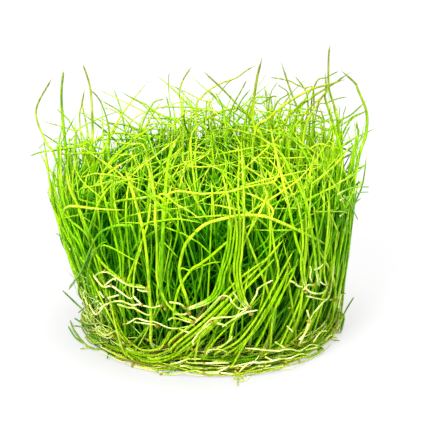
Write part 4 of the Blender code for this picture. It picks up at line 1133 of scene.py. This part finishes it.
coils = foot_coils()
coil_tuft = np.argmin(np.linalg.norm(crowns[:, :2] - coils[:, COIL_OWNER, None, :2], axis=-1), axis=1)
coil_radii = stem_radii(rng.uniform(*COIL_THICKNESS, COILS), coils)
coil_tint = rng.uniform(*COIL_TINT, COILS)
coil_age = np.where(rng.uniform(0, 1, COILS) < COIL_DRY_SHARE, COIL_AGE, 0.0)
for n in range(len(crowns)):
    mine = coil_tuft == n
    if mine.any():
        parts[n].append(tubes(coils[mine], coil_radii[mine], STEM_SIDES, coil_tint[mine], coil_age[mine]))
for radius, shade, proud, *pixels in ROOTED_STEMS:
    route = leaned_back(on_wall(pixels, proud * ROOTED_PROUD))
    add_single(led_down(route), radius * STEM_SIZE, max(shade, ROOTED_LEAST_TINT))
for radius, shade, proud, *pixels in RUNNER_STEMS:
    add_single(on_wall(pixels, proud * 0.001), radius * STEM_SIZE, shade, foot=RUNNER_STEM_FOOT)
for radius, shade, *pixels in STRAY_STEMS:
    add_single(on_wall(pixels, STRAY_PROUD), radius * STEM_SIZE, shade)
for radius, shade, depth, *pixels in TALL_STEMS:
    drift = rng.uniform(-TALL_DRIFT, TALL_DRIFT) * np.linspace(0, 1, len(pixels)) ** 2
    route = raised(at_depth(pixels, depth * 0.001 + drift))
    add_single(route, radius * TALL_STEM_SIZE, shade, **TALL_FORM)
for radius, shade, *knots in BACK_STEMS:
    add_single(np.array(knots) * 0.001, radius * TALL_STEM_SIZE, shade, **TALL_FORM)
for number in range(len(crowns)):
    name = f"tuft_{number + 1:02d}"
    piece(name + "_stems", parts[number], grass.material, "stem", name)


# The runners: smooth white stems half a millimetre thick, with brown buds where roots and new
# tufts start. They lie on the wall of stems and against the rim of the mat. Each entry is the CAD
# node that it stands for, then its routes in the picture's points.
SEEN_RUNNERS = {
    "runner_left_upper": (
        ((93, 275), (101, 285), (105, 287), (110, 286), (115, 288), (129, 298), (134, 297)),
        ((95, 276), (99, 273), (105, 272), (111, 274), (128, 285), (147, 288)),
        ((133, 296), (142, 305)),
        ((99, 291), (104, 298)),
        ((108, 298), (119, 295)),
        ((137, 289), (142, 291), (149, 291.5)),
        ((116, 280), (113, 279), (104, 286)),
    ),
    "runner_left_lower": (
        ((99, 309), (108, 303.5), (120, 301), (132, 305), (139, 304.5), (152, 307.5), (162, 305)),
        ((117, 304), (128, 307.5), (134, 308), (145, 314), (151, 315)),
        ((89, 304), (94, 313), (97, 314), (103, 308)),
        ((92, 314), (91, 321)),
        ((85, 290), (84, 295), (88, 305)),
        ((96, 327), (103, 334), (107, 335), (118, 329.5)),
        ((97, 333), (107, 338), (113, 336)),
        ((83, 314), (86, 317), (87, 321)),
    ),
    "runner_front": (
        ((126, 324), (131, 321.5), (137, 318.5), (148, 321.5), (155, 322), (173, 328.5), (195, 325)),
        ((190, 327), (207, 311), (220, 297), (229, 297), (233, 303)),
        ((169, 302), (180, 304), (186, 309)),
        ((173, 314), (183, 314.5), (188, 313)),
        ((134, 322), (157, 325)),
        ((168, 320), (175, 318), (192, 323)),
        ((179, 329), (190, 333)),
        ((190, 316), (198, 320)),
    ),
    "runner_front_low": (
        ((194, 345), (193.5, 340), (207, 323), (212, 319), (220, 317.5), (230, 317), (237, 315.5), (242, 312),
         (248, 308)),
        ((196, 335), (212, 322)),
        ((222, 327), (242, 314), (258, 310)),
        ((230, 300), (240, 309), (250, 306)),
        ((233, 292), (244, 306), (249, 307)),
        ((190, 358), (177, 363), (170, 364)),
        ((217, 323), (227, 326)),
    ),
    "runner_right_loop": (
        ((303, 290), (308, 285), (312, 285)),
        ((305, 288), (310, 292), (316, 293.5), (322, 293), (327, 289)),
        ((306, 296), (325, 299.5), (329, 295)),
        ((250, 305), (256, 295), (259, 288), (273, 280)),
        ((290, 281), (294, 282.5), (298, 286), (303, 287)),
        ((310, 266), (311, 271), (310, 277), (312, 282)),
        ((314, 270), (319, 268), (323, 264)),
        ((315, 264), (320, 281), (328, 286)),
    ),
    "runner_right_long": (
        ((299, 345), (306, 330), (309, 321), (313, 314), (318, 308), (323, 302), (329, 296), (333, 274),
         (334, 263)),
        ((299, 340), (304, 335), (308, 328), (311, 319)),
        ((307, 310), (310, 321)),
        ((313, 342), (321, 332), (327, 331)),
        ((325, 341), (328, 337), (332, 335)),
        ((338, 308), (341, 294)),
    ),
    "runner_foot_front": (
        ((131, 366), (155, 371), (165, 374), (175, 374), (194, 370.5), (201, 372), (218, 371.5), (231, 365)),
        ((205, 373), (223, 373), (240, 375), (249, 372.5), (260, 372), (296, 367.5)),
        ((186, 361), (192, 363), (230, 363)),
        ((180, 366), (186, 366.5), (193, 369)),
        ((188, 359), (201, 359)),
        ((240, 381), (245, 380), (249, 376)),
    ),
    "runner_foot_right": (
        ((238, 373), (246, 365), (252, 362.5), (261, 362.5), (270, 361.5), (280, 359), (289, 358.5),
         (297, 355), (303, 354), (309, 355.5)),
        ((258, 366), (264, 366.5), (271, 365)),
        ((265, 357), (272, 360)),
        ((305, 350), (318, 347)),
    ),
    "runner_foot_upper": (
        ((245, 348), (276, 351), (284, 349.5), (292, 349.5), (299, 351), (305, 348), (311, 344.5),
         (320, 346)),
        ((206, 355), (208, 351), (213, 349.5), (220, 349.5), (228, 352.5)),
        ((220, 348), (230, 340), (232, 336)),
        ((275, 342), (285, 348)),
        ((287, 326), (293, 332)),
    ),
}
# Brown joints, where a runner has put out roots and a new tuft: radius in mm, then picture points.
JOINTS = (
    (0.44, (111, 285), (124, 279), (147, 288), (134, 297), (142, 305), (162, 305), (124, 324), (113, 336),
     (130, 342)),
    (0.54, (157, 326), (185, 308), (189, 313), (193, 322), (212, 322), (223, 297), (250, 307), (251, 314),
     (133, 366)),
    (0.46, (313, 285), (306, 292), (327, 284), (329, 293), (336, 300), (308, 321), (299, 345), (204, 373),
     (237, 368)),
    (0.38, (105, 270), (102, 279), (97, 312), (88, 307), (86, 320), (109, 330), (138, 311), (165, 309),
     (106, 349)),
    (0.36, (161, 374), (165, 367), (204, 364), (220, 373), (249, 350), (206, 355), (192, 349), (261, 354),
     (266, 347)),
    (0.36, (264, 366), (281, 367), (286, 363), (299, 361), (293, 343), (289, 308), (332, 337), (336, 329),
     (148, 340)),
)
# Runners of the sides that the picture doesn't show, as (degrees round from +X, height in mm).
HIDDEN_RUNNERS = {
    "runner_right_back": (
        (10, 4), (13, 6), (15, 11), (20, 12.5), (24, 16), (30, 16.5), (35, 18.5), (40, 17), (44, 17.5),
        (51, 15), (58, 14)
    ),
    "runner_back": (
        (82, 4), (86, 6), (89, 11), (95, 12.5), (100, 16.5), (106, 16.5), (112, 18), (117, 16), (122, 16.5),
        (129, 16.5), (136, 19)
    ),
    "runner_foot_back": ((60, 1.0), (80, 1.1), (100, 0.9), (120, 1.1), (138, 1.0)),
    "runner_foot_left": ((158, 1.0), (176, 1.1), (194, 0.9), (208, 1.0)),
}
# Their side branches, in the same terms. Each starts at a joint.
HIDDEN_BRANCHES = {
    "runner_right_back": (
        ((15, 11), (18, 8), (24, 7), (29, 5)),
        ((24, 16), (27, 20), (31, 21), (33, 24)),
        ((40, 17), (42, 13), (47, 12), (50, 9), (56, 8.5)),
        ((51, 15), (54, 18), (60, 18.5), (64, 17)),
        ((58, 14), (63, 11), (67, 11)),
    ),
    "runner_back": (
        ((89, 11), (93, 8), (98, 8), (103, 5)),
        ((100, 16.5), (104, 12), (109, 11.5), (113, 9)),
        ((117, 16), (120, 20), (125, 21)),
        ((129, 16.5), (132, 12), (138, 11), (142, 8), (149, 8)),
        ((136, 19), (142, 17), (147, 18)),
    ),
    "runner_foot_back": (
        ((80, 1.1), (84, 2.4), (91, 2.6), (96, 3.4)),
        ((112, 1.0), (117, 2.6), (124, 2.4), (131, 3.2)),
    ),
    "runner_foot_left": (
        ((176, 1.1), (180, 2.4), (187, 2.6), (191, 3.6)),
        ((158, 1.0), (152, 2.2), (146, 2.0)),
    ),
}
HIDDEN_JOINT_RADIUS = 0.00042
HIDDEN_OFF_MAT, HIDDEN_OFF_WALL = 0.0010, 0.0006
# A runner's skin: how thick, how crooked, and where along it the one swelling may be.
RUNNER_RADIUS = 0.00022
RUNNER_SPREAD = (0.85, 1.15)
RUNNER_PROUD = 0.0014
RUNNER_RINGS = 40
RUNNER_SIDES = 8
CROOKED = 0.000018
RUNNER_THICKEST, RUNNER_TAPER = 1.1, 0.3
SWELLING, SWELLING_PLACE, SWELLING_WIDTH = 0.35, (0.3, 0.7), 0.025
RUNNER_END, THINNEST_END = 0.05, 0.1
# A joint, as shares of its radius.
JOINT_RINGS = 9
JOINT_HALF_LENGTH = 1.25
JOINT_LEVELLED = (1, 1, 0.6)
JOINT_CLEAR = 1.3
JOINT_KNOBS = (0.75, 1.1)
JOINT_STUB = 0.02
# Roots round the foot that belong to a foot runner, and hair roots on the wall of the left front.
STRANDS = 170
STRAND_SPREAD = (0.5, 0.9)
WISPS = 46
WISP_RADIUS = 0.00012
WISP_SPREAD = (0.6, 1.3)
WISP_AZIMUTHS = (-2.85, -2.30)
WISP_HEIGHTS = (0.003, 0.021)
WISP_ROUND, WISP_DOWN, WISP_OUT = (-0.2, 0.2), (-0.004, 0.008), (0, 0.0012)
WISP_WAVES = (3, 9)
WISP_CURL = (0.012, 0.0003)  # round, in radians, and up

# Ivory with greener patches, and brown where the age says that it is a joint.
ivory = Finish("runner_skin", 0.40)
ivory_tone = ivory.ramp(
    ivory.noise(300.0, 3.0),
    (0.34, (0.30, 0.46, 0.03)),
    (0.50, (0.58, 0.66, 0.14)),
    (0.66, (0.82, 0.84, 0.42)),
)
bud_tone = ivory.ramp(ivory.noise(1100.0, 3.0), (0.3, (0.10, 0.08, 0.002)), (0.7, (0.42, 0.33, 0.004)))
ivory.link(ivory.mix(ivory.attribute("age"), ivory_tone, bud_tone), ivory.shader.inputs["Base Color"])
ivory.shader.inputs["Specular IOR Level"].default_value = 0.30
ivory.shader.inputs["Subsurface Weight"].default_value = 0.15
ivory.shader.inputs["Subsurface Radius"].default_value = (1.0, 0.9, 0.6)
ivory.shader.inputs["Subsurface Scale"].default_value = 0.0004
ivory.bump(ivory.noise(1500.0, 3.0), 0.0001, 0.5)


def runner_tube(route):
    """A runner's tube: crooked by a chance amount at each point, and thinner along it and at both ends.

    A bell curve at a chance place along it is its one slight swelling.
    """
    path = through(route, RUNNER_RINGS)
    path[1:-1] += rng.normal(0, CROOKED, (RUNNER_RINGS - 2, 3))
    share = np.linspace(0, 1, RUNNER_RINGS)
    swell = SWELLING * hump(share, rng.uniform(*SWELLING_PLACE), SWELLING_WIDTH)
    ends = np.sqrt(np.clip(np.minimum(share, 1 - share) / RUNNER_END, THINNEST_END, 1))
    thick = RUNNER_RADIUS * rng.uniform(*RUNNER_SPREAD)
    radii = thick * (RUNNER_THICKEST - RUNNER_TAPER * share + swell) * ends
    return tubes(path[None], radii[None], RUNNER_SIDES, np.zeros(1), np.zeros(1))


def wisps():
    """Hair roots on the wall: from a chance place each wanders round and down, a little off the stems."""
    each = (WISPS, 1)
    share = np.linspace(0, 1, COIL_RINGS)
    curl = np.sin(share * rng.uniform(*WISP_WAVES, each) + rng.uniform(0, 6, each))
    azimuth = rng.uniform(*WISP_AZIMUTHS, each) + rng.uniform(*WISP_ROUND, each) * share
    azimuth = azimuth + WISP_CURL[0] * curl
    height = rng.uniform(*WISP_HEIGHTS, each) - rng.uniform(*WISP_DOWN, each) * share
    height = np.maximum(height + WISP_CURL[1] * curl, FLOOR_GAP)
    return polar(azimuth, wall_radius(azimuth, height) + rng.uniform(*WISP_OUT, each) * share, height)


def joint(place, radius):
    """A brown joint: a short knobbly tube through the place, at a chance angle, clear of the floor.

    Its radius goes along it as the root of one less the square, which makes it round at both ends.
    """
    along = np.linspace(-1, 1, JOINT_RINGS)
    lie = unit(rng.normal(0, 1, 3) * JOINT_LEVELLED)
    lift = np.array((0, 0, max(0, JOINT_CLEAR * radius - place[2])))
    path = place + lift + along[:, None] * lie * radius * JOINT_HALF_LENGTH
    round_ends = np.sqrt(np.clip(1 + JOINT_STUB - along**2, JOINT_STUB, 1))
    radii = radius * round_ends * rng.uniform(*JOINT_KNOBS, JOINT_RINGS)
    return tubes(path[None], radii[None], RUNNER_SIDES, np.zeros(1), np.ones(1))


def round_clump(name, knots):
    """A route from (degrees, mm) pairs: a little outside the mat's rim, or outside the wall of stems."""
    azimuth, height = np.radians([k[0] for k in knots]), np.array([k[1] for k in knots]) * 0.001
    if name.startswith("runner_foot"):
        return polar(azimuth, MAT_RADIUS + HIDDEN_OFF_MAT, height)
    return polar(azimuth, wall_radius(azimuth, height) + HIDDEN_OFF_WALL, height)


def nearest(place, names):
    """The runner, of the names, that has a route point nearest to the place."""
    gaps = {}
    for name in names:
        gaps[name] = min(np.linalg.norm(route - place, axis=1).min() for route in runners[name])
    return min(gaps, key=gaps.get)


runners = {}
for name, routes in SEEN_RUNNERS.items():
    runners[name] = [on_wall(route, RUNNER_PROUD) for route in routes]
for name, knots in HIDDEN_RUNNERS.items():
    runners[name] = [round_clump(name, knots)]
parts = {name: [runner_tube(route) for route in routes] for name, routes in runners.items()}
feet = [name for name in runners if name.startswith("runner_foot")]
for strand in foot_coils()[:STRANDS]:
    radii = RUNNER_RADIUS * rng.uniform(*STRAND_SPREAD) * np.linspace(1, ROOT_TIP, COIL_RINGS)
    tube = tubes(strand[None], radii[None], STEM_SIDES, np.zeros(1), np.zeros(1))
    parts[nearest(strand[COIL_OWNER], feet)].append(tube)
radii = WISP_RADIUS * rng.uniform(*WISP_SPREAD, (WISPS, 1)) * np.linspace(1, ROOT_TIP, COIL_RINGS)
parts["runner_left_lower"].append(tubes(wisps(), radii, ROOT_SIDES, np.zeros(WISPS), np.zeros(WISPS)))
for radius, *pixels in JOINTS:
    for place in on_wall(pixels, RUNNER_PROUD):
        parts[nearest(place, runners)].append(joint(place, radius * 0.001))
for name, branches in HIDDEN_BRANCHES.items():
    for knots in branches:
        branch = round_clump(name, knots)
        parts[name] += [runner_tube(branch), joint(branch[0], HIDDEN_JOINT_RADIUS)]
for name in runners:
    piece(name + "_skin", parts[name], ivory.material, "runner", name)
